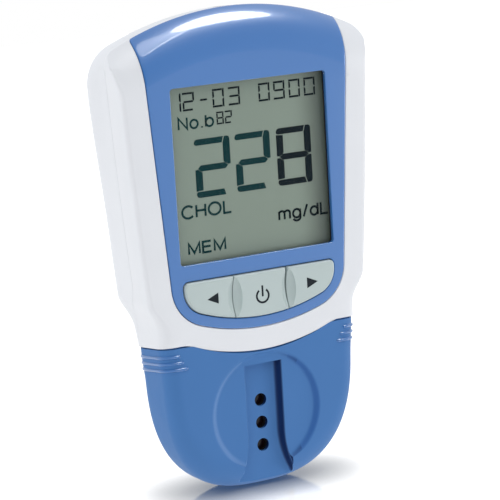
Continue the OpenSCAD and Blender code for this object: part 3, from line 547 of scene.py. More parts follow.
WHITE_PLAIN = finish("white_plastic", (226, 226, 220), 0.4, grain=0.1)
BOARD = finish("circuit_board", (38, 96, 62), 0.35, blotch=0.12, blotch_mm=3, grain=0.3,
               grain_mm=0.6, specks=(1.6, (150, 140, 90)))
STEEL = finish("steel", (176, 178, 182), 0.28, rough_var=0.1, grain=0.3, grain_mm=0.5, metal=1.0)
SILICONE = finish("silicone", (206, 206, 200), 0.55, grain=0.2)
DARK_WINDOW = finish("dark_window", (26, 8, 12), 0.15, grain=0.0, shine=0.3)
RESIN = finish("clear_resin", (214, 219, 224), 0.15, grain=0.05)
FILM = finish("cable_film", (196, 164, 100), 0.35, grain=0.2, specks=(0.8, (170, 120, 60)))
CHIP = finish("chip_blue", (44, 76, 130), 0.42, grain=0.2)
CELL = finish("cell_sleeve", (60, 66, 74), 0.28, blotch=0.06, coat=0.4, grain=0.05)
CELL_BAND = finish("cell_band", (186, 140, 60), 0.25, metal=0.9, grain=0.1)


def painted_shading(mat, share, rgb):
    """Mixes a colour over the material's own: painted shading."""
    tree = mat.node_tree
    base = tree.nodes["Principled BSDF"].inputs["Base Color"]
    tree.links.new(blended(tree, share, base.links[0].from_socket, rgba(rgb)), base)


def painted_wall_shading(mat, rgb, x0_mm, x1_mm, least, most, strength):
    """Painted shading: mixes the colour rgb into the walls between x0 and x1, by how far their normals turn
    towards the X axis.
    """
    tree = mat.node_tree
    turned = ranged(tree, axes(tree, "Normal")["X"], least, most, 0.0, strength)
    middle, reach = (x0_mm + x1_mm) / 2 * MM, (x1_mm - x0_mm) / 2 * MM
    within = maths(tree, "COMPARE", axes(tree, "Object")["X"], middle, reach)
    painted_shading(mat, maths(tree, "MULTIPLY", turned, within), rgb)


# Painted shadow of the window's right wall: the display glass darkens towards its right end
tree = LCD_GLASS.node_tree
x = axes(tree, "Object")["X"]
painted_shading(LCD_GLASS, ranged(tree, x, 14.5 * MM, 26 * MM, 0.0, 0.55), (0, 0, 0))
# Painted light: the dish's left rim, whose walls face right, is lightened
painted_wall_shading(BLUE_CAP, (150, 180, 220), -19.5, -7, 0.04, 0.5, 0.2)
# Painted shade: the dish's right rim, whose walls face left, is darkened
painted_wall_shading(BLUE_CAP, (30, 80, 150), 8, 19.5, -0.04, -0.5, 0.55)
# Painted shadow: the channel's right wall, which faces left, is darkened to deep navy
painted_wall_shading(BLUE_CAP, (15, 41, 86), 0, 11, -0.12, -0.8, 1.0)


def dress(data, *mats):
    data.materials.clear()
    for mat in mats:
        data.materials.append(mat)


for mat, names in (
    (FOAM, "display_gasket"), (WHITE_PLAIN, "lcd_holder"), (RUBBER, "connector_strips"),
    (BOARD, "main_board optical_board"), (DARK_WINDOW, "optical_windows"), (FILM, "flat_cable"),
    (BLACK, "microcontroller board_parts buzzer optical_block code_chip_socket"),
    (STEEL, "usb_socket upper_contacts lower_contacts board_screws optical_screws"),
    (SILICONE, "left_dome power_dome right_dome"), (RESIN, "optical_emitters"),
):
    for node in names.split():
        dress(frame["nodes"][node].data, mat)


def place(obj, body, mat, slot, *nodes):
    """Gives a piece its material and its body, and hides the nodes that it stands for. The slot is not used.
    """
    dress(obj.data, mat)
    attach(obj, body)
    if nodes:
        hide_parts(*nodes)
    return obj


# ---- The white housings ----
outer = plan_table(0.0)


def back_rows(table, d, steps=9):
    """Rows of points from the flat back round its edge, with the heights where the walls start."""
    y = table[0, 0, :, 1]
    r, lift = back_edge_r(y) - d, lift_at(y)
    rows = []
    for s, c in bends(steps):
        z = lift + d + r * c
        rows.append(lifted(plan(table, z, d + r * s), z))
    return rows, lift + d + r


def body_rows():
    rows, wall_low = back_rows(outer, 0.0)
    face_y = outer[-1, 0, :, 1]
    soft = calm(outer[-1, 0, :, 0], face_y)
    r = edge_r(face_y) * soft

    def front_row(s, c):
        p = plan(outer, FACE_Z, r * c)
        return lifted(p, face_at(*p.T) - bezel_fall(r * c) * soft - r * s)

    first = front_row(1, 0)
    for t in np.linspace(0, 1, 22)[1:-1]:
        z = mix(wall_low, first[:, 2], t)
        rows.append(lifted(plan(outer, z, 0.0), z))
    rows += [front_row(s, c) for s, c in bends(9)]
    edge = rows[-1][:, :2]
    for s, t in ((7.5, 0.34), (7.5, 0.67), (7.5, 1), (10, 1), (12.5, 1)):
        p = mix(edge, housing_ring(s, FACE_Z, s - NECK_R), t)
        rows.append(lifted(p, face_at(*p.T) - bezel_fall(mix(r, s, t)) * calm(*p.T)))
    return [leaned(row) for row in rows]


body = loft("body", body_rows(), strips=True)
body_skin = smooth_source(body)


def above_parting(shift):
    t = np.linspace(0, 1, 25)
    curve = points(mix(DISP_Y - 45, DISP_Y - 30, t), mix(NECK_PARTING_Z, PARTING_Z, ease(t)) + shift)
    low, high = END_Y - 20, TOP_Y + 20
    side = [(low, 40), (low, NECK_PARTING_Z + shift), *curve, (high, PARTING_Z + shift), (high, 40)]
    rings = [np.insert(np.array(side, float), 0, x, 1) for x in (-TOP_W, TOP_W)]
    return loft("above", rings)


def face_outline(grow):
    """Right half of the faceplate's outline, which runs past the top end."""
    slope = FACE_TAPER / 2
    yc = CHIN_Y + CHIN_R
    cx, cy = corner_at(CHIN_CORNER_R, FACE_W / 2, DISP_Y, slope, CHIN_R - CHIN_CORNER_R, yc, -1)
    a1, a2 = degrees(atan2(cy - yc, cx)), -degrees(atan(slope))
    top = TOP_R + 1
    tx, ty = corner_at(TIP_R, FACE_W / 2, DISP_Y, slope, top - TIP_R)
    a3 = degrees(atan2(ty - ARC_Y, tx))
    chin = arc(0, yc, CHIN_R + grow, -90, a1, 29)[1:]
    corner = arc(cx, cy, CHIN_CORNER_R + grow, a1, a2, 18, True)
    tip = arc(tx, ty, TIP_R + grow, a2, a3, 12)
    side = mix(corner[-1], tip[0], np.linspace(0, 1, 64)[1:-1, None])
    end = arc(0, ARC_Y, top + grow, a3, 90, 40)
    return np.vstack([chin, corner, side, tip, end])


def pocket():
    """The space that the faceplate lies in, with a small round edge at the bezel."""
    rings = []
    for more, under in ((0, None), (0, 0.5), (0.03, 0.38), (0.1, 0.28), (0.24, 0.2), (0.4, 0.1), (0.5, -4)):
        p = paired(face_outline(FACE_GAP + more))
        z = face_at(*p.T)
        low = np.maximum(FACE_TIP_Z - SEAT, z - FACE_T - SEAT)
        rings.append(lifted(p, low if under is None else np.maximum(low + 0.02 * len(rings), z - under)))
    return loft("pocket", rings, strips=True)


def square(side, y=DISP_Y, r=1.0, x=0.0, length=None):
    """A square or a rectangle with round corners."""
    a, b = side / 2 - r, (length or side) / 2 - r
    corners = enumerate(((a, b), (-a, b), (-a, -b), (a, -b)))
    return np.vstack([arc(x + p, y + q, r, 90 * i, 90 * i + 90, 7, True) for i, (p, q) in corners])


# Outline of the three buttons
KEYS_R, KEYS_CORNER_R, KEYS_TIP_R = 56.0, 7.5, 1.5
KEYS_ARC_Y = KEYS_END + KEYS_R
KEYS_CORNER_X = KEYS_W / 2 - KEYS_CORNER_R
KEYS_CORNER_V = sqrt((KEYS_R - KEYS_CORNER_R) ** 2 - KEYS_CORNER_X ** 2)
KEYS_CORNER_A = -degrees(atan2(KEYS_CORNER_V, KEYS_CORNER_X))


def keys_bottom(x, d):
    return KEYS_ARC_Y - np.sqrt((KEYS_R - d) ** 2 - x * x)


def keys_right(d, inner):
    """Right end of the buttons' outline, clockwise from above, inset by d, from x = inner and back."""
    tip = max(0.3, KEYS_TIP_R - d)
    x2 = (KEYS_R - d) * cos(radians(KEYS_CORNER_A))
    top = points(np.linspace(inner, KEYS_W / 2 - d - tip, 16, endpoint=False), KEYS_TOP - d)
    turn = arc(KEYS_W / 2 - d - tip, KEYS_TOP - d - tip, tip, 90, 0, 8, True)
    corner = arc(KEYS_CORNER_X, KEYS_ARC_Y - KEYS_CORNER_V, KEYS_CORNER_R - d, 0, KEYS_CORNER_A, 20)
    x = np.linspace(x2, inner, 24)
    return np.vstack([top, turn, corner, points(x, keys_bottom(x, d))])


def keys_all(grow):
    return paired(keys_right(-grow, 0.02))


# The rounded form of the cap, and of the nose that it slides over
N_CAP_END, END_POWER = 44, 2 / 2.7


def cap_ring(d, more, reach, z, fall):
    """Outline of the cap at height z, inset by d, and at its end by more and lower by fall."""
    x0, y0, y1 = NECK_W / 2 - d, END_Y + CAP_END_L, float(joint_at(NECK_W / 2)) + reach
    a = quarter(N_CAP_END + 1)[::-1]
    share = np.sin(a) ** 2
    e = more * share
    end = points((x0 - e) * np.abs(np.cos(a)) ** END_POWER, y0 - (CAP_END_L - d - e) * np.sin(a) ** END_POWER)
    end[0, 0] = 0.0
    side = points(x0, np.linspace(y0, y1, 7)[1:])
    t = np.linspace(0.985, 0.0, N_JOINT)
    joint = points(x0 * t, joint_at(NECK_W / 2 * t) + reach)
    right = np.vstack([lifted(end, z - fall * share), lifted(side, z), lifted(joint, z)])
    return np.vstack([right, right[-2:0:-1] * [-1, 1, 1]])


def cap_form(name, low, high, d, reach, front_r, end_r, rear_r, steps=10):
    more = end_r - front_r
    rings = [cap_ring(d + rear_r * s, 0, reach, low + rear_r * c, 0) for s, c in bends(steps)]
    for s, c in bends(steps):
        rings.append(cap_ring(d + front_r * c, more * c, reach, high - front_r * s, more * s))
    return loft(name, [leaned(flared(r)) for r in rings])


NOSE_IN, NOSE_WALL, NOSE_FRONT_R = CAP_WALL + SLIP, 1.6, 3.0
NOSE_LOW = NECK_LIFT + NOSE_IN
NOSE_REACH = WALL + 1.8


def nose_form(d, reach):
    return cap_form("nose", NOSE_LOW + d, NOSE_Z - d, NOSE_IN + d, reach, NOSE_FRONT_R - d, 6 - d,
                    NECK_BACK_R - NOSE_IN - d)


BLOCK_W, BLOCK_L = 9.0, 2 * LIGHT_PITCH + 6.4
LCD_W = DISPLAY_W + 2.8
BOSS_D, SCREW_HEAD_D, SCREW_HOLE_D, SCREW_HEAD_Z = 6.4, 4.6, 2.6, 2.6
BOSS_X = KEYS_W / 2 + KEY_GAP + KEY_LIP + 2.7 + SEAT
BOSSES = [(s * x, DISP_Y + y) for s in (-1, 1) for x, y in ((31.5, 24), (BOSS_X, -35))]

nose = nose_form(0, WALL / 2)
nose_skin = smooth_source(nose)
inner_nose = nose_form(NOSE_WALL, NOSE_REACH)
inside = plan_table(WALL)


def front_hollow():
    rings = [lifted(plan(inside, PARTING_Z, WALL), 1.0)]
    for s in (WALL, WALL + 2, WALL + 4, WALL + 6, WALL + 7.5):
        p = plan(inside, FACE_Z, s)
        rings.append(lifted(p, np.minimum(CEILING_Z, face_at(*p.T) - FACE_Z + CEILING_Z)))
    return loft("hollow", rings, strips=True)


front = copy_of(body, "front_shell")
cut(front, front_hollow())
add(front, copy_of(nose))
keep(front, above_parting(SEAT))
cut(front, pocket(), copy_of(inner_nose), prism("window", square(LCD_W + 0.6), CEILING_Z - 1, 40),
    prism("keyhole", keys_all(KEY_GAP), CEILING_Z - 1, 40),
    block(0, HOLE_Y, BLOCK_W + 0.1, BLOCK_L + 0.1, NOSE_Z - 3, 30),
    block(0, TOP_Y, USB_W, 20, USB_LOW, USB_HIGH))
shade_like(front, [body_skin, nose_skin])
place(front, "meter", WHITE, "white_shell", "front_housing")

# Battery bay and the openings of the rear housing
CELL_PITCH, BAY_FLOOR, BAY_WALL, DOOR_T, DOOR_LAP, DOOR_GAP = 10.8, 2.1, 1.4, 1.9, 1.2, 0.15
BAY_ROOF = BAY_FLOOR + CELL_PITCH
BAY_W, BAY_L, BAY_Y = 4 * CELL_PITCH + 0.3, 44.5 + 4.4, DISP_Y - 1
DOOR_W, DOOR_L = BAY_W + 2 * DOOR_LAP, BAY_L + 2 * DOOR_LAP
HINGE_Y, DOOR_END = BAY_Y + DOOR_L / 2, BAY_Y - DOOR_L / 2
LATCH_W, LATCH_L, TAB_X, TAB_W, TAB_Z, TAB_T = 12.0, 1.2, 10.8, 5.0, 2.35, 1.2
CHIP_Y, CHIP_Z, CHIP_W, CHIP_T, CHIP_GAP = DISP_Y + 2, BAY_FLOOR + 7.4, 12.0, 3.6, 0.25
CHIP_END = float(side_x(CHIP_Y)) + 0.6


def rear_hollow():
    rows, _ = back_rows(inside, WALL)
    rows.append(lifted(plan(inside, PARTING_Z, WALL), PARTING_Z + 1))
    return loft("hollow", [leaned(r) for r in rows], strips=True)


rear = copy_of(body, "rear_shell")
cut(rear, rear_hollow())
add(rear, copy_of(nose),
    block(0, BAY_Y, BAY_W + 2 * BAY_WALL, BAY_L + 2 * BAY_WALL, WALL / 2, BAY_ROOF + BAY_WALL),
    block(0, DOOR_END - LATCH_L, LATCH_W + 4, 2 * LATCH_L + 2, WALL / 2, 4.0),
    *[rod(x, y, BOSS_D, WALL / 2, 4.95) for x, y in BOSSES])
cut(rear, above_parting(-SEAT), copy_of(inner_nose), block(0, BAY_Y, BAY_W, BAY_L, -1, BAY_ROOF),
    prism("doorway", square(DOOR_W + 2 * DOOR_GAP, BAY_Y, 1.4, length=DOOR_L + 2 * DOOR_GAP), -1,
          DOOR_T + SEAT),
    block(0, DOOR_END, LATCH_W + 2 * DOOR_GAP, 2 * (LATCH_L + DOOR_GAP), -1, DOOR_T + SEAT),
    block(CHIP_END, CHIP_Y, 16, CHIP_W + 2 * CHIP_GAP, CHIP_Z - CHIP_GAP, CHIP_Z + CHIP_T + CHIP_GAP),
    block(0, TOP_Y, USB_W, 20, USB_LOW, USB_HIGH + 1),
    *[block(s * TAB_X, HINGE_Y, TAB_W + 0.6, 5.1, DOOR_T, TAB_Z + TAB_T + 1) for s in (-1, 1)])
for x, y in BOSSES:
    cut(rear, rod(x, y, SCREW_HEAD_D, -1, SCREW_HEAD_Z), rod(x, y, SCREW_HOLE_D, 0, 5))
shade_like(rear, [body_skin, nose_skin])
place(rear, "meter", WHITE, "white_shell", "rear_housing")
for temp in (body, nose, inner_nose):
    drop(temp)


# ---- The faceplate ----
def face_low(z):
    """Underside of the faceplate where its face is at height z."""
    return np.maximum(z - FACE_T, FACE_TIP_Z - 0.25)


def face_panel():
    """A glossy plate with an exact roll over the top end and a small round edge all round."""
    rim = face_outline(0.0)
    radius = np.hypot(rim[:, 0], rim[:, 1] - ARC_Y)
    upper = rim[:, 1] > DISP_Y
    flat = rim[:int(np.argmax((radius > ROLL_START) & upper))]
    rows, cols, edge = 30, 72, 0.38
    level = np.linspace(ROLL_START, TOP_R, rows)
    half = []
    for r in level:
        k = int(np.argmax((radius >= r) & upper))
        x, y = mix(rim[k - 1], rim[k], (r - radius[k - 1]) / (radius[k] - radius[k - 1]))
        half.append(atan2(x, y - ARC_Y))
    a = np.concatenate([half, np.linspace(half[-1], -half[-1], cols + 1)[1:-1]])
    r = np.concatenate([level, np.full(cols - 1, TOP_R)])
    roll = points(r * np.sin(a), ARC_Y + r * np.cos(a))
    loop = np.vstack([flat, roll, roll[rows - 1::-1] * [-1, 1], flat[::-1] * [-1, 1]])
    ahead, behind = unit(np.roll(loop, -1, 0) - loop), unit(loop - np.roll(loop, 1, 0))
    way = unit(ahead + behind)
    inward = points(-way[:, 1], way[:, 0]) / np.clip(np.sum(ahead * way, 1), 0.5, 1)[:, None]
    loops = []
    for inset, sink in ((edge, 0.0), (edge * 0.62, 0.022), (edge * 0.29, 0.082), (edge * 0.08, 0.17),
                        (0.0, 0.28), (0.0, None)):
        p = loop + inward * inset
        z = face_at(*p.T)
        low = face_low(z)
        loops.append(lifted(p, low if sink is None else np.maximum(z - sink, low + 0.01)))
    n, nf = len(loop), len(flat)
    verts = [v for ring in loops for v in ring]
    faces = bands(len(loops) - 1, n)

    def surface(base, under):
        """The roll's grid over the loop from vertex base, with the loop's own points at its rim."""
        grid = []
        for j in range(rows - 1):
            right, left = base + nf + j, base + n - 1 - nf - j
            x, y = verts[right][0], verts[right][1] - ARC_Y
            a, r = atan2(x, y) * np.linspace(1, -1, cols + 1)[1:-1], hypot(x, y)
            p = points(r * np.sin(a), ARC_Y + r * np.cos(a))
            z = face_at(*p.T)
            grid.append([right, *range(len(verts), len(verts) + cols - 1), left])
            verts.extend(lifted(p, face_low(z) if under else z))
        grid.append(list(range(base + nf + rows - 1, base + nf + rows + cols)))
        g = np.array(grid)
        quads = np.stack([g[:-1, :-1], g[:-1, 1:], g[1:, 1:], g[1:, :-1]], 2).reshape(-1, 4)
        faces.extend((quads if under else quads[:, ::-1]).tolist())
        rest = [*range(base, base + nf), *grid[0], *range(base + n - nf, base + n)]
        faces.append(tuple(rest[::-1] if under else rest))

    surface(0, False)
    surface((len(loops) - 1) * n, True)
    return outward(new_object("face_panel", verts, faces))


panel = face_panel()
panel_skin = smooth_source(panel, 50)
cut(panel, prism("flange", square(DISPLAY_W + 4.7), 10, LENS_Z + 0.85),
    stepped("opening", lambda e: square(DISPLAY_W + e, r=1 + e / 2),
            ((0, 10), (0, FACE_Z - 0.25), (0.08, FACE_Z - 0.11), (0.25, FACE_Z - 0.03),
             (0.5, FACE_Z + 0.01), (0.5, 30))),
    stepped("keyhole", lambda e: keys_all(KEY_GAP + e),
            ((0, 1), (0, FACE_Z - 0.25), (0.06, FACE_Z - 0.1), (0.2, FACE_Z - 0.01),
             (0.24, FACE_Z + 0.02), (0.24, 30))))
shade_like(panel, [panel_skin], 50)
place(panel, "meter", BLUE_FACE, "blue_face", "faceplate")

# ---- The display ----
lens = stepped("lens", lambda e: square(DISPLAY_W - 0.2 - 2 * e, r=0.9),
               ((-2.4, LENS_Z), (-2.4, LENS_Z + 0.8), (0.0, LENS_Z + 0.801), (0.0, LENS_TOP - 0.15),
                (0.05, LENS_TOP - 0.04), (0.16, LENS_TOP)))
shade(lens, 30)
place(lens, "meter", LENS, "clear_lens", "display_lens")

lcd = stepped("lcd", lambda e: square(LCD_W - 2 * e, r=0.3),
              ((0, LCD_Z), (0, LCD_TOP - 0.1), (0.1, LCD_TOP)))
shade(lcd, 30)
place(lcd, "meter", LCD_GLASS, "lcd_glass", "lcd_panel")

# How far a mark on the liquid crystal seems to lie from its place, seen from the camera
SHIFT_X, SHIFT_Y = 1.35, -0.45


def lcd_xy(p):
    return np.asarray(p, float) + [SHIFT_X, DISP_Y + SHIFT_Y]


def flat_pieces(name, outlines, low=LCD_TOP - 0.01, high=LCD_TOP + 0.03):
    """One mesh of several thin flat shapes, by default on the liquid crystal."""
    verts, faces = [], []
    for outline in outlines:
        n, b = len(outline), len(verts)
        verts += [*lifted(outline, low), *lifted(outline, high)]
        faces += [tuple(range(b, b + n))[::-1], tuple(range(b + n, b + 2 * n)), *bands(1, n, b)]
    return outward(new_object(name, verts, faces))


SEGMENTS = {"0": "abcdef", "1": "bc", "2": "abged", "3": "abgcd", "8": "abcdefg", "9": "abcdfg", "-": "g"}


def digit(char, x, y, w, h, tv, th, g, soft=0.0):
    """Seven-segment digit from (x, y), w wide and h high, with upright strokes tv and level ones th."""
    m, tip, lean, r = h / 2, 0.38 * tv, 0.12 * tv, soft
    left, right = tip + 0.55 * th, w - tip - 0.55 * th
    shapes = {
        "a": [(0, h - 0.55 * th), (0.5 * r, h - 0.12 * th), (1.5 * r, h), (w - tv + lean, h),
              (w - tv - lean, h - th), (0.8 * r, h - th), (0.15 * r, h - 0.85 * th)],
        "b": [(w - tv + lean + g, h), (w - r, h), (w - 0.3 * r, h - 0.3 * r), (w, h - r), (w, m + g),
              (w - tip, m + g * 0.7), (w - tv, m + th / 2 + g), (w - tv, h - th)],
        "f": [(0, h - th - g * 0.4), (tv, h - th - g), (tv, m + th / 2 + g), (tip, m + g * 0.7), (0, m + g)],
        "g": [(tip, m), (left, m + th / 2), (right, m + th / 2), (w - tip, m), (right, m - th / 2),
              (left, m - th / 2)],
    }
    for lower, upper in ("da", "cb", "ef"):
        shapes[lower] = [(px, h - py) for px, py in shapes[upper][::-1]]
    return [lcd_xy([(x + px, y + py) for px, py in shapes[s]]) for s in SEGMENTS[char]]


small, big_teal, big_dark = [], [], []
for char, x in (("1", -25.6), ("2", -21.4), ("-", -16.2), ("0", -11.9), ("3", -6.8),
                ("0", 2.9), ("9", 7.8), ("0", 12.8), ("0", 17.8)):
    small += digit(char, x, 18.5, 2.9 if char == "-" else 3.7, 5.2, 0.56, 0.56, 0.16)
for char, x in (("8", -11.0), ("2", -8.3)):
    small += digit(char, x, 13.6, 2.3, 3.6, 0.45, 0.45, 0.12)
for char, x, rows in (("2", -18.7, big_teal), ("2", -5.7, big_teal), ("8", 7.8, big_dark)):
    rows += digit(char, x, -6.4, 11.4, 16.6, 2.25, 1.75, 0.32, 0.8)
for name, outlines, mat in (("lcd_clock", small, LCD_DARK), ("lcd_value_a", big_teal, LCD_TEAL),
                            ("lcd_value_b", big_dark, LCD_DARK)):
    piece = flat_pieces(name, outlines)
    place(piece, "meter", mat, "lcd_glass")


def bow(x, y, w, h, a, b):
    """Part of an ellipse in the box from (x, y), w wide and h high."""
    t = np.radians(np.linspace(a, b, max(8, int(abs(b - a) / 8))))
    return [(x + w / 2 + w / 2 * c, y + h / 2 + h / 2 * d) for c, d in zip(np.cos(t), np.sin(t))]


# Strokes of each letter and its width, with capitals 1 high and small letters X high
X = 0.73
BOWL = bow(0, 0, 0.54, X, 0, 360)
LETTERS = {
    "C": ([bow(0, 0, 0.86, 1, 42, 318)], 0.78),
    "H": ([[(0, 0), (0, 1)], [(0.64, 0), (0.64, 1)], [(0, 0.53), (0.64, 0.53)]], 0.64),
    "O": ([bow(0, 0, 0.86, 1, 0, 360)], 0.86),
    "L": ([[(0, 1), (0, 0), (0.52, 0)]], 0.52),
    "M": ([[(0, 0), (0, 1), (0.38, 0.08), (0.76, 1), (0.76, 0)]], 0.76),
    "E": ([[(0.58, 1), (0, 1), (0, 0), (0.6, 0)], [(0, 0.53), (0.55, 0.53)]], 0.6),
    "N": ([[(0, 0), (0, 1), (0.62, 0), (0.62, 1)]], 0.62),
    "o": ([BOWL], 0.54),
    "b": ([[(0, 0), (0, 1)], BOWL], 0.54),
    "d": ([[(0.54, 0), (0.54, 1)], BOWL], 0.54),
    "g": ([[(0.54, X), (0.54, 0.02)] + bow(0, -0.26, 0.54, 0.54, -10, -160), BOWL], 0.54),
    "m": ([[(0, 0), (0, X)]] + [bow(x, 0.3, 0.4, 0.43, 180, 0) + [(x + 0.4, 0)] for x in (0, 0.4)], 0.8),
    "/": ([[(0, -0.02), (0.3, 1.02)]], 0.3),
    ".": ([[(0.06, -0.05), (0.06, 0.08)]], 0.12),
}


def ribbon(line, t):
    """Outline of a stroke t wide along a line of points, with mitred corners."""
    p = np.asarray(line, float)
    closed = len(p) > 3 and np.allclose(p[0], p[-1])
    step = unit(np.diff(p, axis=0))
    before = np.concatenate([step[-1:] if closed else step[:1], step])
    after = np.concatenate([step, step[:1] if closed else step[-1:]])
    way = unit(before + after)
    reach = t / 2 / np.clip(np.sum(way * after, 1), 0.45, 1)
    side = points(-way[:, 1], way[:, 0]) * reach[:, None]
    return [np.stack([p[i] + side[i], p[i + 1] + side[i + 1], p[i + 1] - side[i + 1], p[i] - side[i]])
            for i in range(len(p) - 1)]


def words(name, text, x, y, height, width, mat, t=0.66):
    """Plain lettering as thin strokes, fitted from (x, y) into a width and a capital height."""
    lines, at = [], 0.0
    for char in text:
        strokes, wide = LETTERS[char]
        lines += [[(at + px, py) for px, py in stroke] for stroke in strokes]
        at += wide + 0.24
    scale = np.array([(width - t) / (at - 0.24), height - t])
    outlines = []
    for line in lines:
        outlines += ribbon(lcd_xy(np.asarray(line) * scale + [x + t / 2, y + t / 2]), t)
    return place(flat_pieces(name, outlines), "meter", mat, "lcd_glass")


words("lcd_number", "No.b", -23.4, 13.2, 3.8, 11.6, LCD_TEAL, 0.6)
words("lcd_test", "CHOL", -24.0, -12.0, 4.1, 16.3, LCD_TEAL)
words("lcd_unit", "mg/dL", 7.1, -16.5, 4.0, 16.9, LCD_DARK)
words("lcd_memory", "MEM", -22.6, -22.3, 3.7, 12.3, LCD_TEAL)


# ---- The buttons ----
SCOOP_L, SCOOP_W, SCOOP_D = 12.0, 4.7, 1.7


def scoop(side):
    """The hollow over the line between two buttons."""
    lift = (SCOOP_W ** 2 / 4 - SCOOP_D ** 2) / (2 * SCOOP_D)
    fat = SCOOP_D + lift
    big = (SCOOP_L ** 2 / 4 + SCOOP_D ** 2) / (2 * SCOOP_D)
    half = degrees(acos((big - fat) / big))
    profile = arc(fat - big, 0, big, -half, half, 49, True)
    profile[[0, -1], 0] = 0
    at = (side * POWER_W / 2, KEYS_TOP - KEYS_H / 2 + 0.2, BODY_T + lift)
    return moved(lathe("scoop", profile, 96), at, 90, "X")


def key_outline(side, d):
    if side:
        p = keys_right(d, POWER_W / 2 + KEY_GAP / 2 + d)
        return p if side > 0 else (p * [-1, 1])[::-1]
    x0 = POWER_W / 2 - KEY_GAP / 2 - d
    x = np.linspace(x0, -x0, 32)
    top = points(-x[:-1], KEYS_TOP - d)
    return np.vstack([top, points(x, keys_bottom(x, d))])


def button(name, side):
    rings = [lifted(key_outline(side, 0), KEY_LIP_Z)]
    rings += [lifted(key_outline(side, KEY_EDGE * c), BODY_T - KEY_EDGE * s) for s, c in bends(9)]
    key = loft(name, rings)
    skin = smooth_source(key, 35)
    wide = POWER_W - KEY_GAP if side == 0 else KEYS_W
    lip = prism("lip", keys_all(KEY_GAP + KEY_LIP), KEY_LIP_Z, KEY_LIP_Z + KEY_LIP_T)
    keep(lip, block(side * (POWER_W + KEY_GAP + wide) / 2, KEYS_END, wide, 60, 0, 40))
    add(key, lip, rod(side * (KEYS_W + POWER_W) / 4, KEYS_TOP - 6.6, 4.0, 19.0, KEY_LIP_Z + 0.5))
    cut(key, scoop(-1), scoop(1))
    shade_like(key, [skin], 35)
    return place(key, name, KEY_GREY, "key_grey", name)


button("left_button", -1)
button("power_button", 0)
button("right_button", 1)


def mark(name, body, outlines):
    piece = flat_pieces(name, outlines, BODY_T - 0.03, BODY_T + 0.015)
    place(piece, body, KEY_INK, "key_grey")


ARROW_Y, ARROW_L, ARROW_H = DISP_Y - 35.4, 1.8, 1.6
for name, side, x in (("left", -1, -16.0), ("right", 1, 16.7)):
    arrow = [(x - side * ARROW_L, ARROW_Y - ARROW_H), (x + side * ARROW_L, ARROW_Y),
             (x - side * ARROW_L, ARROW_Y + ARROW_H)]
    mark(name + "_mark", name + "_button", [arrow[::side]])
POWER_X, POWER_Y, BAR_W = 0.1, DISP_Y - 36.9, 0.6
power_ring = [arc(POWER_X, POWER_Y, r, a, b, 60, True) for r, a, b in ((2.25, 125, 415), (1.65, 415, 125))]
power_bar = [(POWER_X + x * BAR_W / 2, POWER_Y + y) for x, y in ((-1, -0.2), (1, -0.2), (1, 3.0), (-1, 3.0))]
mark("power_mark", "power_button", [np.concatenate(power_ring), power_bar])


# ---- The sensor cap ----
def rib(side, k):
    """Grip rib number k from the joint: from the cap's front over its edge and round to the back."""
    x0, z0, z1 = NECK_W / 2 - CAP_EDGE_R, CAP_Z - CAP_EDGE_R, NECK_LIFT + NECK_BACK_R

    def bend(x, z, r, a, b, n):
        return np.hstack([arc(x, z, r, a, b, n, True), arc(0, 0, 1, a, b, n, True)])

    path = [(x0 + radians(a) * CAP_EDGE_R, CAP_Z, 0, 1) for a in range(-3 - 14 * k, -2, 7)]
    path += [*bend(x0, z0, CAP_EDGE_R, 90, 0, 14)]
    path += [(NECK_W / 2, mix(z0, z1, t), 1, 0) for t in np.linspace(0, 1, 8)[1:]]
    path += [*bend(NECK_W / 2 - NECK_BACK_R, z1, NECK_BACK_R, 0, -60, 9)[1:]]
    y, last = JOINT_Y + 2.1 - RIB_PITCH * k, len(path) - 1
    flank = [(-0.75, -0.35), (-0.58, -0.1), (-0.45, 0.14), (-0.33, 0.32), (-0.18, 0.45)]
    along, out = np.array(flank + [(0, 0.5)] + [(-a, b) for a, b in flank[::-1]]).T
    rings = []
    for i, (px, pz, nx, nz) in enumerate(path):
        rise = float(np.sqrt(ease(min(i, last - i) / 1.6)))
        proud = np.where(out < 0, out, out * rise - 0.1 * (1 - rise))
        at_y = y + along * (0.5 + 0.5 * rise) - RIB_SLANT * (CAP_Z - pz)
        rings.append(flared(np.stack([side * (px + proud * nx), at_y, pz + proud * nz], 1)))
    return loft("rib", rings)


FILLET, LIP_R, LIP_SUNK = 0.9, 0.4, 0.9
STEEPER, DEEPER = 0.26, 0.45


def channel_ring(z, more=0.0, rounded=False):
    rise = CHANNEL_DRAFT * (z - CHANNEL_Z)
    w = CHANNEL_W / 2 + rise + more
    if rounded:
        w += STEEPER * max(0, DISH_Z - z)
        low = max(0.0, 1 - (z - CHANNEL_Z + DEEPER) / FILLET)
        high = min(1.0, max(0.0, (z - DISH_Z + LIP_R) / LIP_R))
        w += LIP_R * (1 - sqrt(1 - high * high * 0.98)) - FILLET * (1 - sqrt(1 - low * low))
    mouth = DISH_Y - 6.5
    t = np.linspace(1, 0, 40)
    y = mix(mouth, END_Y - 4, t)
    x = w + 0.02 * (mouth - y) ** 2 - 0.08 * 8 * t * rise
    right = np.vstack([points(x, y), [[w, DISH_Y + 14 + more]]])
    return lifted(paired(right), z)


def cap_shell(name, d, low, high, reach, steps=10):
    """The cap's form, inset by d from its outer skin."""
    return cap_form(name, low, high, d, reach, CAP_EDGE_R - d, CAP_END_R - d, NECK_BACK_R - d, steps)


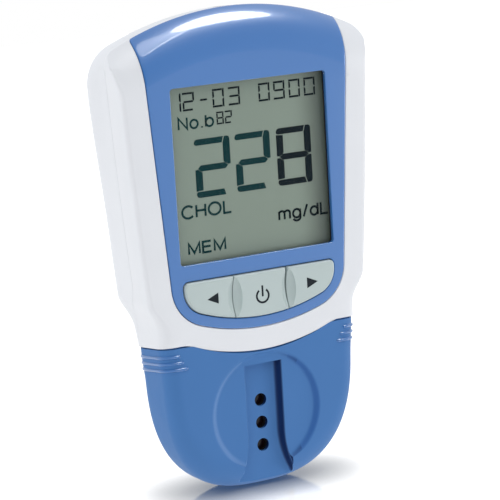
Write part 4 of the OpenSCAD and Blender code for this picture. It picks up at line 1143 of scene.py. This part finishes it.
cap = cap_shell("sensor_cap_shell", 0, NECK_LIFT, CAP_Z, -JOINT_GAP, 14)
cap_skin = smooth_source(cap, 35)
add(cap, cap_shell("joint_lip", LIP_SUNK, NECK_LIFT + LIP_SUNK, CAP_Z - LIP_SUNK, -0.06))
ribs = rib(-1, 0)
add(ribs, *[rib(s, k) for s in (-1, 1) for k in range(3) if (s, k) != (-1, 0)])
shade(ribs, 40)
place(ribs, "sensor_cap", BLUE_RIBS, "blue_cap")
cap_hollow = cap_shell("cap_hollow", CAP_WALL, NECK_LIFT + CAP_WALL, DISH_Z - CAP_FLOOR_T, WALL + 3)
cut(cap_hollow, loft("trough", [channel_ring(z, 2.6) for z in (CHANNEL_Z - CAP_FLOOR_T, 30)], strips=True))
cut(cap, cap_hollow)
rim = [(DISH_R + x, DISH_Z + DISH_D * z) for x, z in (
    (0.0, 0.0), (0.3, 0.025), (0.6, 0.09), (0.85, 0.19), (1.1, 0.33), (1.3, 0.5), (1.5, 0.67),
    (1.75, 0.83), (2.0, 0.93), (2.3, 0.99), (2.6, 1.02))]
rim += [(DISH_R + 2.6, 30), (0, 30)]
dish = lathe("dish", [(r, DISH_Z) for r in (0, 4, 8, 12)] + rim, 180, 0, DISH_Y)
dish_skin = smooth_source(dish, 35)
channel_levels = [*(CHANNEL_Z - DEEPER + FILLET * (1 - np.cos(quarter(8)))),
                  *(DISH_Z - LIP_R * np.cos(quarter(7))), CAP_Z + 1]
channel = loft("channel", [channel_ring(z, 0, True) for z in channel_levels], strips=True)
channel_skin = smooth_source(channel, 35)
cut(cap, dish, channel)
cut(cap, *[rod(0, HOLE_Y + k * LIGHT_PITCH, LIGHT_HOLE_D, CHANNEL_Z - 3, 30, 72) for k in (-1, 0, 1)])
shade_like(cap, [cap_skin, dish_skin, channel_skin], 32)
place(cap, "sensor_cap", BLUE_CAP, "blue_cap", "sensor_cap")


# ---- The battery door, the cells, the code chip and the screws ----
door = stepped("door", lambda e: square(DOOR_W - 2 * e, BAY_Y, 1.2, length=DOOR_L - 2 * e),
               ((0.3, 0.0), (0.09, 0.09), (0.0, 0.3), (0.0, DOOR_T)))
add(door, block(0, DOOR_END - LATCH_L / 2 + 0.2, LATCH_W, LATCH_L + 0.4, 0.25, DOOR_T))
for side in (-1, 1):
    add(door, block(side * TAB_X, HINGE_Y - 0.75, TAB_W, 1.5, DOOR_T / 2, TAB_Z + TAB_T),
        block(side * TAB_X, HINGE_Y + 0.85, TAB_W, 2.7, TAB_Z, TAB_Z + TAB_T))
for k in range(5):
    y = DOOR_END + 5 + 2 * k
    cut(door, stepped("groove", lambda e: square(16 + 2 * e, y, 0.4 + e, length=0.9 + 2 * e),
                      ((0.3, -0.5), (0.3, -0.001), (0.12, 0.04), (0.02, 0.16), (0.0, 0.45))))
shade(door, 30)
place(door, "battery_door", WHITE, "white_shell", "battery_door")

CELL_R, CELL_HALF, CAN_R = 5.25, 22.25, 4.15
for i in range(1, 5):
    up = 1 if i % 2 else -1
    x, z = (i - 2.5) * CELL_PITCH, BAY_FLOOR + 5.4
    sleeve = [(0, -CELL_HALF), (CAN_R, -CELL_HALF), (4.9, 0.12 - CELL_HALF), (CELL_R, 0.55 - CELL_HALF)]
    sleeve += [(r, CELL_HALF - fall) for r, fall in (
        (CELL_R, 1.6), (4.95, 1.15), (4.25, 0.95), (2.4, 0.92), (1.95, 0.85), (1.9, 0.15), (1.7, 0), (0, 0))]
    cell = moved(lathe("cell_%d" % i, sleeve, 72), (x, BAY_Y, z), -90 * up, "X")
    shade(cell, 40)
    place(cell, "meter", CELL, "cell_sleeve", "battery_%d" % i)
    dress(cell.data, CELL, CELL_BAND, STEEL)
    for poly in cell.data.polygons:
        at = poly.center / MM
        poly.material_index = 2 if hypot(at.x - x, at.z - z) < 4.6 else int((at.y - BAY_Y) * up > 12)

rings = []
for e, back in ((0.0, 12.6), (0.0, 0.4), (0.12, 0.12), (0.4, 0.0)):
    end = square(CHIP_W - 2 * e, CHIP_Z + CHIP_T / 2, 0.5, CHIP_Y, CHIP_T - 2 * e)
    rings.append(np.insert(end, 0, CHIP_END - back, 1))
chip = loft("chip", rings)
for k in range(4):
    cut(chip, block(CHIP_END, CHIP_Y - 3 + 2 * k, 0.5, 0.8, CHIP_Z + 0.4, CHIP_Z + CHIP_T - 0.4))
shade(chip, 30)
place(chip, "code_chip", CHIP, "chip_blue", "code_chip")

for i, (x, y) in enumerate(BOSSES):
    profile = [(0, 0.95), (1.6, 0.98), (2.0, 1.15), (2.1, 1.5), (2.1, 2.55), (1.1, 2.56), (1.1, 13.95),
               (0, 13.95)]
    screw = lathe("housing_screw_%d" % (i + 1), profile, 48, x, y)
    cut(screw, *[moved(block(0, 0, 2.4, 0.55, 0, 1.9), (x, y, 0), turned, "Z") for turned in (20, 110)])
    shade(screw, 35)
    place(screw, "meter", STEEL, "steel", *([] if i else ["housing_screws"]))

# ---- Floor ----
# It stands at the cap's end, moves with the cap, and isn't seen from behind
FLOOR_SIDE = 1200
floor_corners = [(x * FLOOR_SIDE, END_Y, z * FLOOR_SIDE) for x, z in CORNERS]
floor_mesh = new_object("floor", floor_corners, [(0, 1, 2, 3)])
if floor_mesh.data.polygons[0].normal.y < 0:
    floor_mesh.data.flip_normals()
FLOOR = bpy.data.materials.new("floor")
tree = tree_of(FLOOR)
matte = tree.nodes["Principled BSDF"]
feed(tree, matte, {"Base Color": (0.25, 0.25, 0.25, 1), "Roughness": 0.6})
# Painted shadow: the glow that the camera sees is darkened by ambient occlusion near the object, and other
# rays meet a steady glow
near = add_node(tree, "AmbientOcclusion", {"Distance": 0.016}).outputs["AO"]
level = maths(tree, "MULTIPLY", maths(tree, "POWER", near, 3.0), 1.3)
strength = add_node(tree, "Mix", {0: add_node(tree, "LightPath"), "A": 1.0, "B": level})
both = add_node(tree, "AddShader", {0: matte, 1: add_node(tree, "Emission", {"Strength": strength})})
gloss = add_node(tree, "BsdfGlossy", {"Roughness": 0.1})
polished = add_node(tree, "MixShader", {0: 0.36, 1: both, 2: gloss})
behind = add_node(tree, "NewGeometry").outputs["Backfacing"]
one_sided = add_node(tree, "MixShader", {0: behind, 1: polished, 2: add_node(tree, "BsdfTransparent")})
feed(tree, tree.nodes["Material Output"], {"Surface": one_sided})
dress(floor_mesh.data, FLOOR)
floor_mesh.parent = frame["bodies"]["sensor_cap"]

# ---- Light and camera ----
# The studio is grey in front of the object and white behind it, and the camera sees plain white
world = bpy.data.worlds.new("studio")
scene.world = world
tree = tree_of(world)
way = axes(tree, "Generated")
side_level = ranged(tree, way["X"], -0.7, 0.6, 0.16, 0.72)
top_level = ranged(tree, way["Y"], 0.05, 0.7, 0.0, 0.75)
front_level = maths(tree, "MAXIMUM", top_level, side_level)
ambient = tree.nodes["Background"]
feed(tree, ambient, {"Color": (0.95, 0.97, 1.0, 1),
                     "Strength": ranged(tree, way["Z"], 0.15, -0.35, front_level, 1.0)})
backdrop = add_node(tree, "Background", {"Color": (1, 1, 1, 1), "Strength": 1.0})
pick = add_node(tree, "MixShader", {0: add_node(tree, "LightPath"), 1: ambient, 2: backdrop})
feed(tree, tree.nodes["World Output"], {"Surface": pick})

CENTRE = Vector((0, 0, 0.015))


def lamp(name, azimuth, height, distance, width, tall, watts, tilt=0.0, shape="RECTANGLE",
         only_shine=False, no_shine=False):
    """Area lamp at an azimuth from +X and a height angle over the face's plane, which faces the object."""
    a, h = radians(azimuth), radians(height)
    at = CENTRE + distance * Vector((cos(a) * cos(h), sin(a) * cos(h), sin(h)))
    light = bpy.data.lights.new(name, "AREA")
    light.shape, light.size, light.size_y, light.energy = shape, width, tall, watts
    obj = linked(name, light)
    look = (CENTRE - at).to_track_quat("-Z", "Z").to_matrix().to_4x4()
    obj.matrix_world = Matrix.Translation(at) @ look @ Matrix.Rotation(radians(tilt), 4, "Z")
    obj.visible_diffuse, obj.visible_glossy = not only_shine, not no_shine


lamp("key_right", -2, 27, 0.95, 0.3, 0.3, 2.6)
lamp("top_soft", 89, 23.5, 0.8, 0.3, 0.28, 0.8, 50)
lamp("top_box", 68, 12, 0.8, 0.38, 0.27, 4.0, 0, "ELLIPSE", only_shine=True)
lamp("top_strip", 81, 30, 0.8, 0.23, 0.012, 0.13, 50, only_shine=True)
lamp("left_fill", 190, -12, 0.9, 0.5, 0.5, 3.2, no_shine=True)
lamp("front_left", 226, 30, 0.9, 0.5, 0.5, 1.8, no_shine=True)
lamp("top_left", 140, 32, 0.9, 0.4, 0.4, 1.3, no_shine=True)

YAW, PITCH, ROLL = (radians(a) for a in (28.863, 10.769, 3.361))
FROM_DISPLAY = Vector((1.0414, 23.2821, -706.088))
cam_data = bpy.data.cameras.new("camera")
cam_data.sensor_width, cam_data.lens = 36.0, 180.0
cam_data.clip_start, cam_data.clip_end = 0.01, 20.0
camera = linked("camera", cam_data)
turn = Matrix.Rotation(ROLL, 3, "Z") @ Matrix.Rotation(PITCH, 3, "X") @ Matrix.Rotation(YAW, 3, "Y")
matrix = turn.transposed().to_4x4()
matrix.translation = (Vector((0, DISP_Y, FACE_Z)) - turn.transposed() @ FROM_DISPLAY) * MM
camera.matrix_world = matrix
scene.camera = camera

scene.view_settings.view_transform = "Standard"
